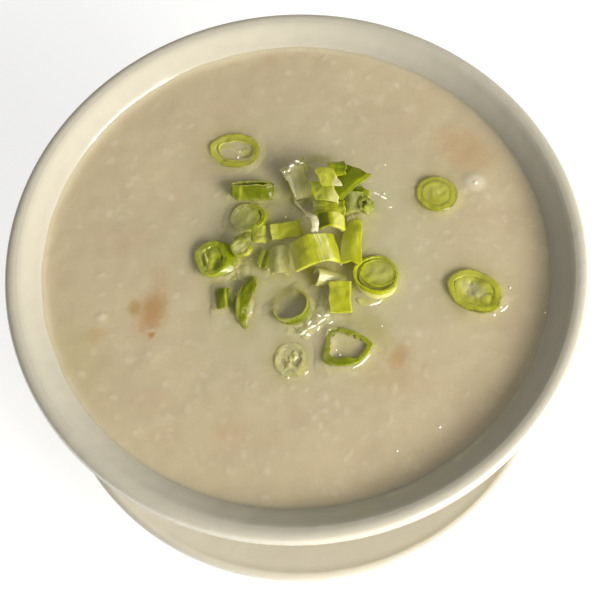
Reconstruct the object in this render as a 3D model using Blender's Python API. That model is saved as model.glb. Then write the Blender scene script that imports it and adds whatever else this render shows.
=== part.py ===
"""A bowl of congee on its saucer, garnished with sliced scallion.

The bowl and saucer are turned about +Z. The saucer's foot ring stands on z = 0 with its centre at the
origin, and the diner sits on the -Y side. The congee fills the bowl nearly to the lip, and the slices of
scallion float in it or lie on each other in a loose heap. Each slice is a ring cut across the hollow leaf
or a strip of its wall. It comes down from above until it floats at its own height or touches what lies
below it, and the congee is cut round it.
"""

from math import cos, radians, sin, tau

import bmesh
import bpy
from mathutils import Matrix, Vector
from mathutils.bvhtree import BVHTree

MM = 0.001
GAP = 0.3 * MM  # left between pieces that touch
AROUND = 48  # sides of the bowl, the saucer and the congee

# The bowl
BOWL_FOOT_RADIUS = 32 * MM
BOWL_FOOT_WIDTH = 3.5 * MM
BOWL_FOOT_DEPTH = 3 * MM
BOWL_FOOT_RISE = 4 * MM  # the outer height of the foot ring
# The wall as distance from the axis and height in millimetres: its outside going up, its inside going up to
# where it flares out to the lip, and the lip going in from the outer edge
BOWL_OUTSIDE = [(35, 11.4), (42, 16.6), (49, 23), (56, 31.4), (62, 41), (67.4, 52.5), (71.2, 62),
                (74.6, 68.6), (78.6, 73.2)]
BOWL_INSIDE = [
    (0, 12.8),
    (12, 13.1),
    (22, 14.7),
    (33, 19.2),
    (42, 25.4),
    (50, 34),
    (56.4, 43.5),
    (61.5, 53.5),
    (65.3, 62.5),
    (68, 69.5),
    (70.2, 73),
    (75, 77),
]
LIP = [(80, 74.6), (80, 75.8), (79.2, 77.3), (77.6, 78)]

# The saucer
SAUCER_RADIUS = 79 * MM
SAUCER_LIP_HEIGHT = 15.6 * MM
SAUCER_LIP_RADIUS = 1.7 * MM
SAUCER_FOOT_RADIUS = 38.5 * MM
SAUCER_FOOT_WIDTH = 4.5 * MM
SAUCER_FOOT_DEPTH = 2.2 * MM
# The flange's underside going out, and its top going in
FLANGE_UNDERSIDE = [(40, 2.6), (58, 7.4), (74, 12.6)]
FLANGE_TOP = [(73.5, 16), (60, 11.4), (47, 7.4)]
WELL_RADIUS = 36.5 * MM
WELL_HEIGHT = 5 * MM
FOOT_TAPER = 1.5 * MM  # how much wider each foot ring is at its root, on its inside

# The congee
LEVEL = 72.3 * MM
EDGE_LEVEL = 73 * MM  # where the congee creeps up the wall of the bowl
EDGE_RADIUS = 67.8 * MM
CREEP_WIDTH = 1.2 * MM  # of the gentle part of the creeping edge
CREEP_HEIGHT = 0.25 * MM

# The slices of scallion
DROP_FROM = 30 * MM  # above the congee, where each slice starts on its way down
SAMPLE = 0.5 * MM  # between the points that feel for what lies below a slice
RING_SIDES = 14

GLAZE_ROUGHNESS = 0.12
WET_ROUGHNESS = 0.25
GLAZE = (0.80, 0.74, 0.60)
CONGEE = (0.56, 0.44, 0.26)
FRESH = (0.38, 0.42, 0.03)
DEEP = (0.16, 0.23, 0.004)
PALE = (0.52, 0.54, 0.17)
CLEAR = (0.46, 0.44, 0.24)


# ---------------------------------------------------------------- shapes


def mm(*lengths):
    return tuple(length * MM for length in lengths)


def smooth(points, steps=4):
    """A Catmull-Rom curve through the points, with so many steps between each pair."""
    points = [Vector(p) for p in points]
    ends = [2 * points[0] - points[1], *points, 2 * points[-1] - points[-2]]
    curve = []
    for before, a, b, after in zip(ends, ends[1:], ends[2:], ends[3:]):
        for step in range(steps):
            t = step / steps
            curve.append(
                0.5
                * (
                    2 * a
                    + (b - before) * t
                    + (2 * before - 5 * a + 4 * b - after) * t * t
                    + (3 * a - before - 3 * b + after) * t**3
                )
            )
    return curve + [points[-1]]


def arc(centre, radius, start, end, steps):
    """Points on a circle from one angle to another, in degrees."""
    angles = [radians(start + (end - start) * i / steps) for i in range(steps + 1)]
    return [Vector(centre) + radius * Vector((cos(a), sin(a))) for a in angles]


def offset(outline, distance):
    """The outline moved to the left of its own direction."""
    moved = []
    for i, point in enumerate(outline):
        along = outline[min(i + 1, len(outline) - 1)] - outline[max(i - 1, 0)]
        left = Vector((-along.y, along.x)).normalized()
        moved.append(point + distance * left)
    return moved


def material(name, colour, roughness):
    finish = bpy.data.materials.new(name)
    finish.use_nodes = True
    shader = finish.node_tree.nodes["Principled BSDF"]
    shader.inputs["Base Color"].default_value = (*colour, 1)
    shader.inputs["Roughness"].default_value = roughness
    shader.inputs["Metallic"].default_value = 0
    return finish


def shown(name, bm, colour, roughness=WET_ROUGHNESS, smooth_below=40):
    """Turns a closed bmesh into a named object with a material of its own."""
    bmesh.ops.recalc_face_normals(bm, faces=bm.faces)
    mesh = bpy.data.meshes.new(name)
    bm.to_mesh(mesh)
    bm.free()
    mesh.shade_smooth()
    mesh.set_sharp_from_angle(angle=radians(smooth_below))
    mesh.materials.append(material(name, colour, roughness))
    thing = bpy.data.objects.new(name, mesh)
    bpy.context.scene.collection.objects.link(thing)
    return thing


def turned(name, outline, colour, roughness, smooth_below=40):
    """A solid of revolution; the outline runs in the XZ plane from axis to axis."""
    bm = bmesh.new()
    line = [bm.verts.new((p[0], 0, p[1])) for p in outline]
    edges = [bm.edges.new(pair) for pair in zip(line, line[1:])]
    bmesh.ops.spin(
        bm, geom=line + edges, axis=(0, 0, 1), cent=(0, 0, 0), angle=tau, steps=AROUND, use_merge=True
    )
    bmesh.ops.remove_doubles(bm, verts=bm.verts, dist=1e-6)
    return shown(name, bm, colour, roughness, smooth_below)


def skinned(sections, closed):
    """A bmesh skinned over loops of points, joined end to start or closed with a cap at each end."""
    bm = bmesh.new()
    loops = [[bm.verts.new(p) for p in section] for section in sections]
    pairs = list(zip(loops, loops[1:] + loops[:1]))
    for near, far in pairs if closed else pairs[:-1]:
        for i, vert in enumerate(near):
            bm.faces.new((vert, near[i - 1], far[i - 1], far[i]))
    if not closed:
        bm.faces.new(loops[0])
        bm.faces.new(loops[-1])
    bmesh.ops.recalc_face_normals(bm, faces=bm.faces)
    return bm


def ring(across, wall, tall, slant=(0, 0), outline=None, sides=RING_SIDES, grow=0):
    """A ring cut from the hollow leaf, its mouth centred on the origin and its body below.

    across is the mouth's size along X and Y, or outline gives points that the mouth's edge runs through.
    slant is how far the foot lies to one side of the mouth, as on a leaf cut obliquely. grow makes the ring
    larger all round.
    """
    if outline:
        edge = smooth([*outline, outline[0]], 2)[:-1]
    else:
        turns = [tau * i / sides for i in range(sides)]
        edge = [Vector((across[0] / 2 * cos(a), across[1] / 2 * sin(a))) for a in turns]
    lean = Vector((*slant, -tall))
    hole = [1 - wall / max(p[axis] for p in edge) for axis in (0, 1)]
    sections = []
    for i, point in enumerate(edge):
        along = edge[(i + 1) % len(edge)] - edge[i - 1]
        outward = Vector((along.y, -along.x)).normalized()
        lining = Vector((point.x * hole[0], point.y * hole[1]))
        outer = Vector((*(point + grow * outward), grow))
        inner = Vector((*(lining - grow * outward), grow))
        down = lean * (1 + 2 * grow / tall)
        sections.append([outer, outer + down, inner + down, inner])
    return skinned(sections, closed=True)


def leaf(length, width, wall, bend, taper=(1, 1, 1), bow=(0, 0, 0), skew=0, curl=0, arch=3, grow=0):
    """A strip cut from the leaf's wall, its crest on the origin and its length along X.

    bend is the angle that the strip wraps round its length, and curl the angle that it turns through along
    its length. At even steps along it, taper is its share of the width and bow how far it strays sideways.
    skew is the slope of its cut ends, arch the number of facets across it, and grow makes it larger all
    round.
    """
    stations = 2 * (len(taper) - 1) + 1
    spread = smooth(list(enumerate(taper)), 2)
    stray = smooth(list(enumerate(bow)), 2)
    full = width / 2 / sin(radians(bend) / 2)
    sections = []
    for i in range(stations):
        x = (i / (stations - 1) - 0.5) * (length + 2 * grow)
        radius = full * spread[i].y
        half = radians(bend) / 2 + grow / radius
        turns = [half * (2 * j / arch - 1) for j in range(arch + 1)]
        over = [(radius + wall / 2 + grow, a) for a in turns]
        under = [(radius - wall / 2 - grow, a) for a in reversed(turns)]
        section = []
        for reach, a in over + under:
            y = reach * sin(a)
            point = Vector((x + skew * y, y + stray[i].y * MM, reach * cos(a) - full - wall / 2))
            if curl:
                turn = radians(curl) * point.x / length
                drum = length / radians(curl)
                out = drum + point.z
                point = Vector((out * sin(turn), point.y, out * cos(turn) - drum))
            section.append(point)
        sections.append(section)
    return skinned(sections, closed=False)


# ---------------------------------------------------------------- crockery and congee


def bowl():
    foot = WELL_HEIGHT + GAP
    hollow = foot + BOWL_FOOT_DEPTH
    foot_inside = BOWL_FOOT_RADIUS - BOWL_FOOT_WIDTH
    outline = [
        (0, hollow),
        (foot_inside - FOOT_TAPER, hollow),
        (foot_inside, foot),
        (BOWL_FOOT_RADIUS, foot),
        (BOWL_FOOT_RADIUS + FOOT_TAPER, foot + BOWL_FOOT_RISE),
    ]
    outline += [mm(*p) for p in [*BOWL_OUTSIDE, *LIP, *reversed(BOWL_INSIDE)]]
    return turned("bowl", outline, GLAZE, GLAZE_ROUGHNESS)


def saucer():
    foot_inside = SAUCER_FOOT_RADIUS - SAUCER_FOOT_WIDTH
    outline = [
        (0, SAUCER_FOOT_DEPTH),
        (foot_inside - FOOT_TAPER, SAUCER_FOOT_DEPTH),
        (foot_inside, 0),
        (SAUCER_FOOT_RADIUS, 0),
    ]
    outline += [mm(*p) for p in FLANGE_UNDERSIDE]
    lip = (SAUCER_RADIUS - SAUCER_LIP_RADIUS, SAUCER_LIP_HEIGHT)
    outline += arc(lip, SAUCER_LIP_RADIUS, -70, 120, 5)
    outline += [mm(*p) for p in FLANGE_TOP]
    outline += [(WELL_RADIUS, WELL_HEIGHT), (0, WELL_HEIGHT)]
    return turned("saucer", outline, GLAZE, GLAZE_ROUGHNESS)


def congee():
    """Congee up to its level, a gap clear of the wall, its edge creeping up to a sharp rim."""
    wall = offset([Vector(mm(*p)) for p in BOWL_INSIDE], GAP)
    outline = [p for p in wall if p.y < EDGE_LEVEL - MM]
    outline[0].x = 0
    above = wall[len(outline)]
    share = (EDGE_LEVEL - outline[-1].y) / (above.y - outline[-1].y)
    outline += [outline[-1].lerp(above, share)]
    outline += [(EDGE_RADIUS + CREEP_WIDTH, LEVEL + CREEP_HEIGHT), (EDGE_RADIUS, LEVEL), (0, LEVEL)]
    return turned("congee", outline, CONGEE, WET_ROUGHNESS, smooth_below=0)


# ---------------------------------------------------------------- the scallions


# The corners of the one ring that dried to a triangle before it was cut.
CORNERED = [
    mm(7.2, -0.1),
    mm(4.0, 3.4),
    mm(-1.2, 5.5),
    mm(-4.7, 5.7),
    mm(-5.8, 1.2),
    mm(-6.8, -3.6),
    mm(-4.6, -5.2),
    mm(0.4, -5.4),
    mm(4.6, -3.4),
]


def ring_cut(wide, deep, wall, tall, **more):
    """How a ring is cut: its mouth along X and Y, its wall and its height in millimetres."""
    return ring, dict(across=mm(wide, deep), wall=wall * MM, tall=tall * MM, **more)


def strip_cut(length, width, wall, bend, **more):
    """How a strip is cut: its sizes in millimetres, and the angle that it wraps round."""
    return leaf, dict(length=length * MM, width=width * MM, wall=wall * MM, bend=bend, **more)


# Lowest first: name, colour, place of the mouth or crest and its height above the congee in millimetres, the
# turn of the slice's X about +Z, its lean from upright towards a heading in degrees from +X, and its cut.
SLICES = [
    ("slice_oblique", FRESH, (-15.2, 35.8), 0.6, -14, (3, 165),
     ring_cut(15.4, 11.6, 2.3, 4.2, slant=mm(-2.8, 0.6))),
    ("slice_round", PALE, (41.5, 16.7), 0.6, 0, (3, 120), ring_cut(11.9, 11.6, 4.4, 3.6)),
    ("slice_oval", PALE, (47.9, -14.2), 0.7, -38, (4, 140), ring_cut(16, 12.2, 4.9, 3.8)),
    ("slice_layered", FRESH, (21.9, -7.4), 1.8, -5, (10, 50), ring_cut(13, 11.6, 4.4, 4.4)),
    ("ring_cornered", DEEP, (12, -27.6), 1.2, 0, (4, 110), ring_cut(13.4, 11, 1.8, 3.8, outline=CORNERED)),
    ("ring_sunken", PALE, (-3.3, -29.8), 0.2, -4, (3, 100), ring_cut(8.8, 10.3, 3.1, 3.2, sides=12)),
    ("tube_upright", FRESH, (-2.2, -14.5), 1.9, 0, (20, 125), ring_cut(10.6, 10.6, 0.8, 5.6)),
    ("tube_open", FRESH, (-12.5, 13.6), 1.4, 0, (8, 155),
     ring_cut(10, 8.6, 1.2, 5, slant=mm(0.8, 0), sides=12)),
    ("tube_crumpled", FRESH, (-22.4, 1.3), 2, 0, (6, 172), ring_cut(9.2, 10.8, 1.8, 4.6, slant=mm(3.6, 0))),
    ("tube_small", FRESH, (-14.6, 3.1), 2, 0, (12, 215), ring_cut(5.8, 5, 0.8, 1.8, sides=10)),
    ("strip_left_back", FRESH, (-9.5, 6.2), 1.3, -95, (8, 0), strip_cut(5.4, 3.8, 0.9, 50)),
    ("strip_left_front", DEEP, (-8.4, 0.2), 1.2, -110, (10, 20), strip_cut(5, 2.6, 0.8, 60)),
    ("tube_dark", DEEP, (-10.7, 23.7), 2.9, -6, (36, 84), ring_cut(12.8, 4.2, 1, 5.4)),
    ("strip_folded", FRESH, (-2, 8.4), 2.4, 4, (6, 270), strip_cut(8.4, 4.5, 1.7, 40)),
    ("leaf_clear", CLEAR, (-4.4, -0.9), 1.4, -93, (6, 90), strip_cut(8.6, 4.8, 0.8, 90)),
    ("tube_clear_front", CLEAR, (5.2, -6.8), 1.6, 0, (62, 177), ring_cut(5, 4.8, 0.6, 9.2, sides=12)),
    ("strip_front", FRESH, (11.5, -13.6), 1.5, -93, (4, 270), strip_cut(8.8, 6, 0.9, 16)),
    ("tube_clear_back", CLEAR, (1.4, 27.6), 2.8, 0, (66, 97), ring_cut(5.4, 4.6, 0.6, 9.6, sides=12)),
    ("tube_clear_right", CLEAR, (17.9, 18.4), 1.8, 0, (72, 85), ring_cut(5, 4.4, 0.7, 6, sides=12)),
    ("curl_dark", DEEP, (20.7, 13.2), 2, 0, (30, 200), ring_cut(3.4, 3.8, 1.1, 3.2, sides=10)),
    ("strip_back", FRESH, (14, 24.8), 3.2, 12, (12, 100), strip_cut(7, 4.6, 0.9, 50)),
    ("leaf_dark", DEEP, (16.4, 20.8), 2, 42, (6, 300), strip_cut(9.8, 5.8, 0.8, 45, skew=-0.5)),
    ("strip_streaked", FRESH, (10.5, 13.6), 2, -6, (4, 260), strip_cut(8.6, 4.8, 0.9, 60)),
    ("leaf_curved", FRESH, (16, 2.8), 2, -98, (10, 200), strip_cut(13.6, 6, 0.8, 60, taper=(0.45, 0.9, 1))),
    ("strip_cupped", PALE, (11.2, 8.6), 2, -93, (8, 20), strip_cut(5, 7, 1.1, 110)),
    ("leaf_pale_front", PALE, (9.8, 16.9), 2, -14, (10, 250), strip_cut(6.2, 4.8, 0.8, 50, skew=-0.45)),
    ("leaf_pale_back", PALE, (11.1, 20.3), 2, -8, (8, 240), strip_cut(5.4, 4.8, 0.8, 45, skew=-0.4)),
    ("shred_curled", CLEAR, (5.2, 8.4), 2, -70, (0, 0), strip_cut(6.2, 1.6, 0.6, 70, curl=90)),
    ("band_ribbed", FRESH, (5.5, 0.1), 2, -80, (4, 90), strip_cut(8.8, 12.4, 0.9, 86, arch=6)),
    ("sliver_folded", DEEP, (-13.7, -12.8), 1.5, -100, (0, 0),
     strip_cut(15.2, 4.2, 0.9, 80, taper=(0.5, 0.75, 1, 0.25), bow=(0, -1.2, -1.9, 0))),
    ("strip_short", DEEP, (-20.6, -10.8), 1.3, -93, (4, 180), strip_cut(5.8, 3.8, 1.4, 50)),
]


def placed(place, height, turn, lean):
    """The matrix that turns a slice, leans it over and puts it at its place above the congee."""
    angle, heading = lean
    tipping = Vector((-sin(radians(heading)), cos(radians(heading)), 0))
    turning = Matrix.Rotation(radians(angle), 4, tipping) @ Matrix.Rotation(radians(turn), 4, "Z")
    return Matrix.Translation((place[0] * MM, place[1] * MM, LEVEL + height)) @ turning


def feelers(bm):
    """Points along every edge of a mesh, each with four more just beside it."""
    points = []
    for edge in bm.edges:
        a, b = (v.co for v in edge.verts)
        steps = max(1, round((b - a).length / SAMPLE))
        points += [a.lerp(b, i / steps) for i in range(steps + 1)]
    beside = [Vector((x, y, 0)) * GAP for x, y in ((0, 0), (1, 0), (-1, 0), (0, 1), (0, -1))]
    return [p + b for p in points for b in beside]


def drop(bm, wanted, lying):
    """How far a slice comes down: as far as it wants, or until it is a gap above one that lies below it."""
    tree = BVHTree.FromBMesh(bm)
    down = Vector((0, 0, -1))
    free = wanted
    for points, other in lying:
        hits = [other.ray_cast(p, down)[3] for p in feelers(bm)]
        hits += [tree.ray_cast(p, -down)[3] for p in points]
        free = min([free] + [hit - GAP for hit in hits if hit is not None])
    return free


def slices():
    """Every slice of scallion in its place, and a slightly larger copy of each to cut the congee with."""
    lying, cutters = [], []
    for name, colour, place, height, turn, lean, (shape, sizes) in SLICES:
        bm = shape(**sizes)
        bm.transform(placed(place, DROP_FROM, turn, lean))
        fall = drop(bm, DROP_FROM - height * MM, lying)
        bmesh.ops.translate(bm, verts=bm.verts, vec=(0, 0, -fall))
        lying.append((feelers(bm), BVHTree.FromBMesh(bm)))
        lowest = min(v.co.z for v in bm.verts)
        shown(name, bm, colour, smooth_below=50)
        if lowest < LEVEL + GAP:
            larger = shape(**sizes, grow=GAP)
            larger.transform(placed(place, DROP_FROM - fall, turn, lean))
            cutter = shown(name + "_cutter", larger, colour)
            cutter.hide_render = True
            cutter.display_type = "WIRE"
            cutters.append(cutter)
    return cutters


def cut_round(thing, cutters):
    for cutter in cutters:
        cut = thing.modifiers.new(cutter.name, "BOOLEAN")
        cut.operation = "DIFFERENCE"
        cut.solver = "EXACT"
        cut.object = cutter


def build():
    for thing in list(bpy.data.objects):
        bpy.data.objects.remove(thing)
    saucer()
    bowl()
    cut_round(congee(), slices())


build()
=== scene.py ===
"""The looks of a bowl of congee with sliced scallion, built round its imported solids.

It is laid out as an add-on and run as a script: each operator makes one piece or one group of like pieces.
"""

from math import atan2, cos, exp, radians, sin, tau

import bpy
import numpy as np
from bpy.props import FloatProperty, FloatVectorProperty, IntProperty, PointerProperty
from bpy.types import Operator, Panel, PropertyGroup
from mathutils import Matrix, Vector, noise
from mathutils.bvhtree import BVHTree


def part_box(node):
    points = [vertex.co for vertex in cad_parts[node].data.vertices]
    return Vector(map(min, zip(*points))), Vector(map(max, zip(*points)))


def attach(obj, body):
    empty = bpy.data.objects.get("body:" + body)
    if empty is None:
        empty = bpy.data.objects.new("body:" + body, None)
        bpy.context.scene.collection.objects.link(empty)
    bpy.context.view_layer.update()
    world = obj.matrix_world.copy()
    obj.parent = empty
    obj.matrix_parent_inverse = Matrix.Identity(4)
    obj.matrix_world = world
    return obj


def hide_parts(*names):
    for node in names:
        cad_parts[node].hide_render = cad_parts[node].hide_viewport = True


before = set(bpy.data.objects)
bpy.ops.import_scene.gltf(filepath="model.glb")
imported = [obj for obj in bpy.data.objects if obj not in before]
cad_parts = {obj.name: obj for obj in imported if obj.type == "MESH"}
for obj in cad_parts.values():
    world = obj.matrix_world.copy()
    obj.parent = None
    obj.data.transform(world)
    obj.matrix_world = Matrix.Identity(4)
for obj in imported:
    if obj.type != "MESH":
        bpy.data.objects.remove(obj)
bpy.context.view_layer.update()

bl_info = {
    "name": "Congee Bowl",
    "version": (1, 0, 0),
    "blender": (4, 5, 0),
    "location": "View3D > Sidebar > Congee Bowl",
    "description": "Dresses a bowl of congee on its saucer, garnished with sliced scallion",
    "category": "Object",
}

MM = 0.001
BODY = "root"

# What the frame gives
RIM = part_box("bowl")[1]
RIM_RADIUS, RIM_HEIGHT = RIM.x, RIM.z
BOWL_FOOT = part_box("bowl")[0].z
SAUCER_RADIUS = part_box("saucer")[1].x
SAUCER_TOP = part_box("saucer")[1].z
EDGE_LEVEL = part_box("congee")[1].z
LEVEL = EDGE_LEVEL - 0.7 * MM
TOP_RADIUS = 67.4 * MM  # where the flat of the congee ends and its edge begins to rise


def linear(red, green, blue):
    """A colour as a paint chart gives it, 0 to 255, in the linear values that shaders use."""
    shares = [c / 255 for c in (red, green, blue)]
    return tuple(s / 12.92 if s <= 0.04045 else ((s + 0.055) / 1.055) ** 2.4 for s in shares)


# ---------------------------------------------------------------- settings


def colour_setting(name, about, red, green, blue):
    """A colour that a user can change, its default given from 0 to 255."""
    limits = {"size": 3, "min": 0, "max": 1, "default": linear(red, green, blue)}
    return FloatVectorProperty(name=name, description=about, subtype="COLOR", **limits)


def length_setting(name, about, millimetres):
    """A length that a user can change."""
    return FloatProperty(name=name, description=about, unit="LENGTH", min=0, default=millimetres * MM)


def share_setting(name, about, share):
    """A share from 0 to 1 that a user can change."""
    return FloatProperty(name=name, description=about, subtype="FACTOR", min=0, max=1, default=share)


def angle_setting(name, about, degrees):
    """An angle that a user can change."""
    return FloatProperty(name=name, description=about, unit="ROTATION", default=radians(degrees))


def power_setting(name, about, watts):
    """A lamp's power that a user can change."""
    return FloatProperty(name=name, description=about, unit="POWER", min=0, default=watts)


class CrockerySettings(PropertyGroup):
    """The bowl and its saucer."""

    glaze: colour_setting("Bowl glaze", "Cream glaze of the bowl", 220, 213, 192)
    saucer: colour_setting("Saucer glaze", "Cream glaze of the saucer", 232, 225, 206)
    biscuit: colour_setting("Biscuit", "Bare clay of the foot rings", 214, 196, 166)
    lip: length_setting("Lip", "Width of the bowl's rounded lip, outside the flare", 5)
    around: IntProperty(name="Around", description="Sides of each turned piece", min=32, max=512, default=240)


class CongeeSettings(PropertyGroup):
    """The rice congee."""

    warm: colour_setting("Warm", "Congee over most of the bowl", 224, 207, 168)
    cool: colour_setting("Cool", "Congee near the scallions", 214, 205, 166)
    fleck: colour_setting("Broken rice", "Soft flecks of broken rice", 238, 226, 198)
    film: colour_setting("Film", "Thin film where the congee creeps up the bowl", 228, 214, 176)
    stain: colour_setting("Green stain", "Scallion seen through the congee", 180, 174, 80)
    blush: colour_setting("Blush", "Pinker drifts away from the scallions", 218, 192, 158)
    meat: colour_setting("Pork", "Shreds of pork under the surface", 202, 156, 96)
    bubble: colour_setting("Bubbles", "Bubbles and beads of liquid", 214, 206, 160)
    # Painted highlights: the whitish colour that bubbles and beads glow in.
    painted_glint: colour_setting("Glints", "Brighter parts of bubbles and beads", 255, 253, 244)
    reach: length_setting("Meniscus", "How far in the congee's edge starts to rise", 1.1)
    grains: IntProperty(name="Broken rice", description="Broken grains near the surface", min=0, default=440)


class ScallionSettings(PropertyGroup):
    """The sliced scallions."""

    darkest: colour_setting("Darkest green", "Oldest leaf", 100, 108, 0)
    deep: colour_setting("Deep green", "Leaf tops", 132, 143, 0)
    fresh: colour_setting("Fresh green", "Middle of the leaf", 174, 177, 4)
    bright: colour_setting("Bright green", "Young leaf and cut edges", 204, 207, 62)
    pale: colour_setting("Pale green", "Flesh near the root", 222, 218, 122)
    clear: colour_setting("Membrane", "Clear lining of the hollow leaf", 218, 210, 170)
    thread: colour_setting("White veins", "Fine pale veins of a ribbed leaf", 238, 236, 196)
    smear: colour_setting("Smear", "Congee smeared up the foot of a slice", 196, 190, 104)
    wet: share_setting("Wetness", "How much of a wet coat the slices carry", 0.28)


class StageSettings(PropertyGroup):
    """The floor, the lights and the camera."""

    floor: colour_setting("Floor", "Plain pale floor", 240, 240, 238)
    key: power_setting("Key light", "Power of the soft key light", 19.2)
    core: power_setting("Key core", "Power of the bright middle of the key light", 3)
    key_azimuth: angle_setting("Key azimuth", "Where the key light stands, from +X", -38.5)
    key_height: angle_setting("Key height", "Angle of the key light above the floor", 22.5)
    fill: FloatProperty(name="Fill", description="Strength of the even light all round", min=0, default=0.26)
    camera_height: angle_setting("Camera height", "Angle of the camera above the floor", 66.36)
    camera_roll: angle_setting("Camera roll", "Turn of the camera about its own line of sight", -4.311)
    camera_away: length_setting("Camera distance", "From the camera to what it looks at", 300)
    lens: FloatProperty(name="Lens", description="Focal length in millimetres", min=1, default=66.8)


# ---------------------------------------------------------------- shader maths


class Value:
    """A socket that adds Math nodes when it is used in an expression."""

    def __init__(self, finish, socket):
        self.finish = finish
        self.socket = socket

    def math(self, operation, *values):
        """A Math node that works on some values in order."""
        return self.finish.add("ShaderNodeMath", {"operation": operation}, dict(enumerate(values)))

    def __add__(self, other):
        return self.math("ADD", self, other)

    def __sub__(self, other):
        return self.math("SUBTRACT", self, other)

    def __rsub__(self, other):
        return self.math("SUBTRACT", other, self)

    def __mul__(self, other):
        return self.math("MULTIPLY", self, other)

    def __pow__(self, other):
        return self.math("POWER", self, other)

    __radd__ = __add__
    __rmul__ = __mul__


class Finish:
    """A material under construction."""

    def __init__(self, name):
        self.material = bpy.data.materials.new(name)
        self.material.use_nodes = True
        self.tree = self.material.node_tree
        self.shader = self.tree.nodes["Principled BSDF"]
        self.place = self.add("ShaderNodeTexCoord", {}, {}, "Object")

    def add(self, kind, settings, sockets, result=0):
        """Adds a node, sets it up, fills or links its sockets, and returns one of its outputs."""
        node = self.tree.nodes.new(kind)
        for key, setting in settings.items():
            setattr(node, key, setting)
        for key, value in sockets.items():
            self.join(value, node.inputs[key])
        return Value(self, node.outputs[result])

    def join(self, value, socket):
        """Links a value to a socket, or fills the socket with a number or a colour."""
        if isinstance(value, Value):
            self.tree.links.new(value.socket, socket)
        elif isinstance(value, tuple) and len(value) == 3 and len(socket.default_value) == 4:
            socket.default_value = (*value, 1)
        else:
            socket.default_value = value

    def set(self, **sockets):
        """Fills or links the sockets of the surface shader, named with _ for each space."""
        for key, value in sockets.items():
            self.join(value, self.shader.inputs[key.replace("_", " ")])
        return self.material

    def attribute(self, name, result="Fac"):
        """What a piece keeps at each point under a name."""
        return self.add("ShaderNodeAttribute", {"attribute_name": name}, {}, result)

    def noise(self, size, detail=2, stretch=(1, 1, 1), place=None, roughness=0.5):
        """Noise whose lumps are about that size, longer along an axis whose stretch is over 1."""
        scale = tuple(1 / (size * s) for s in stretch)
        spread = self.add("ShaderNodeMapping", {}, {"Vector": place or self.place, "Scale": scale})
        sockets = {"Vector": spread, "Scale": 1, "Detail": detail, "Roughness": roughness}
        return self.add("ShaderNodeTexNoise", {}, sockets)

    def step(self, value, low, high):
        """Rises smoothly from 0 at low to 1 at high, or falls where low is the greater."""
        sockets = {"Value": value, "From Min": low, "From Max": high}
        return self.add("ShaderNodeMapRange", {"interpolation_type": "SMOOTHSTEP"}, sockets)

    def mix(self, share, first, second):
        """A colour between two others: sockets 6 and 7 of a Mix node, and its output 2."""
        return self.add("ShaderNodeMix", {"data_type": "RGBA"}, {"Factor": share, 6: first, 7: second}, 2)

    def ramp(self, value, colours):
        """Goes evenly through some colours as a value goes from 0 to 1."""
        ramp = self.add("ShaderNodeValToRGB", {}, {"Fac": value})
        stops = ramp.socket.node.color_ramp.elements
        while len(stops) < len(colours):
            stops.new(0.5)
        for i, (stop, colour) in enumerate(zip(stops, colours)):
            stop.position = i / (len(colours) - 1)
            stop.color = (*colour, 1)
        return ramp

    def bump(self, height, depth):
        """Tilts the surface by a height from 0 to 1 that stands for a depth."""
        return self.add("ShaderNodeBump", {}, {"Height": height, "Distance": depth, "Strength": 1})

    def across(self):
        """Distance from the axis of the bowl, and height, as values."""
        split = self.add("ShaderNodeSeparateXYZ", {}, {"Vector": self.place}).socket.node
        x, y, z = (Value(self, part) for part in split.outputs)
        return (x * x + y * y) ** 0.5, z


def darker(colour, share):
    """A colour at a share of its brightness."""
    return tuple(c * share for c in colour)


def glaze_finish(name, settings, glaze, foot_top, lip_top):
    """Rippled cream glaze with a few pinholes over clay left bare under the foot ring, the lip's top darkened
    as painted shade and a darker band just above the congee.
    """
    finish = Finish(name)
    height = finish.across()[1]
    base = finish.mix(finish.step(finish.noise(26 * MM, 3), 0.3, 0.7), darker(glaze, 0.965), glaze)
    pooled = finish.step(finish.noise(4 * MM, 4), 0.62, 0.8)
    base = finish.mix(pooled * 0.25, base, darker(glaze, 0.93))
    spots = finish.add("ShaderNodeTexVoronoi", {}, {"Vector": finish.place, "Scale": 1 / (7 * MM)})
    base = finish.mix(finish.step(spots, 0.03, 0.012) * 0.5, base, darker(glaze, 0.55))
    # Painted shade: the top of the lip is darker, toning down the band that the key lamp lights.
    uneven = height + (finish.noise(8 * MM) - 0.5) * 0.8 * MM
    base = finish.mix(finish.step(uneven, lip_top - 3.4 * MM, lip_top - 1.2 * MM), base, darker(glaze, 0.96))
    # Darker just above the congee: partly a thin film of congee on the wall, partly painted shade that tones
    # down the lit lower wall.
    uneven = height + (finish.noise(5 * MM, 3) - 0.5) * 3 * MM
    base = finish.mix(finish.step(uneven, LEVEL + 4 * MM, LEVEL + 1.5 * MM), base, darker(glaze, 0.9))
    uneven = height + finish.noise(3 * MM) * 0.4 * MM
    bare = finish.step(uneven, foot_top + 0.9 * MM, foot_top + 0.5 * MM)
    biscuit = tuple(settings.biscuit)
    base = finish.mix(bare, base, finish.mix(finish.noise(0.5 * MM, 4), darker(biscuit, 0.8), biscuit))
    ripple = finish.noise(9 * MM, 2) * 0.8 + finish.noise(2.2 * MM, 2) * 0.12
    grit = finish.noise(0.35 * MM, 3) * bare
    return finish.set(
        Base_Color=base,
        Roughness=0.1 + finish.noise(12 * MM, 3) * 0.08 + bare * 0.6,
        Normal=finish.bump(ripple + grit * 0.25, 0.35 * MM),
        Coat_Weight=0.5 - bare * 0.5,
        Coat_Roughness=0.04,
    )


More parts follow.
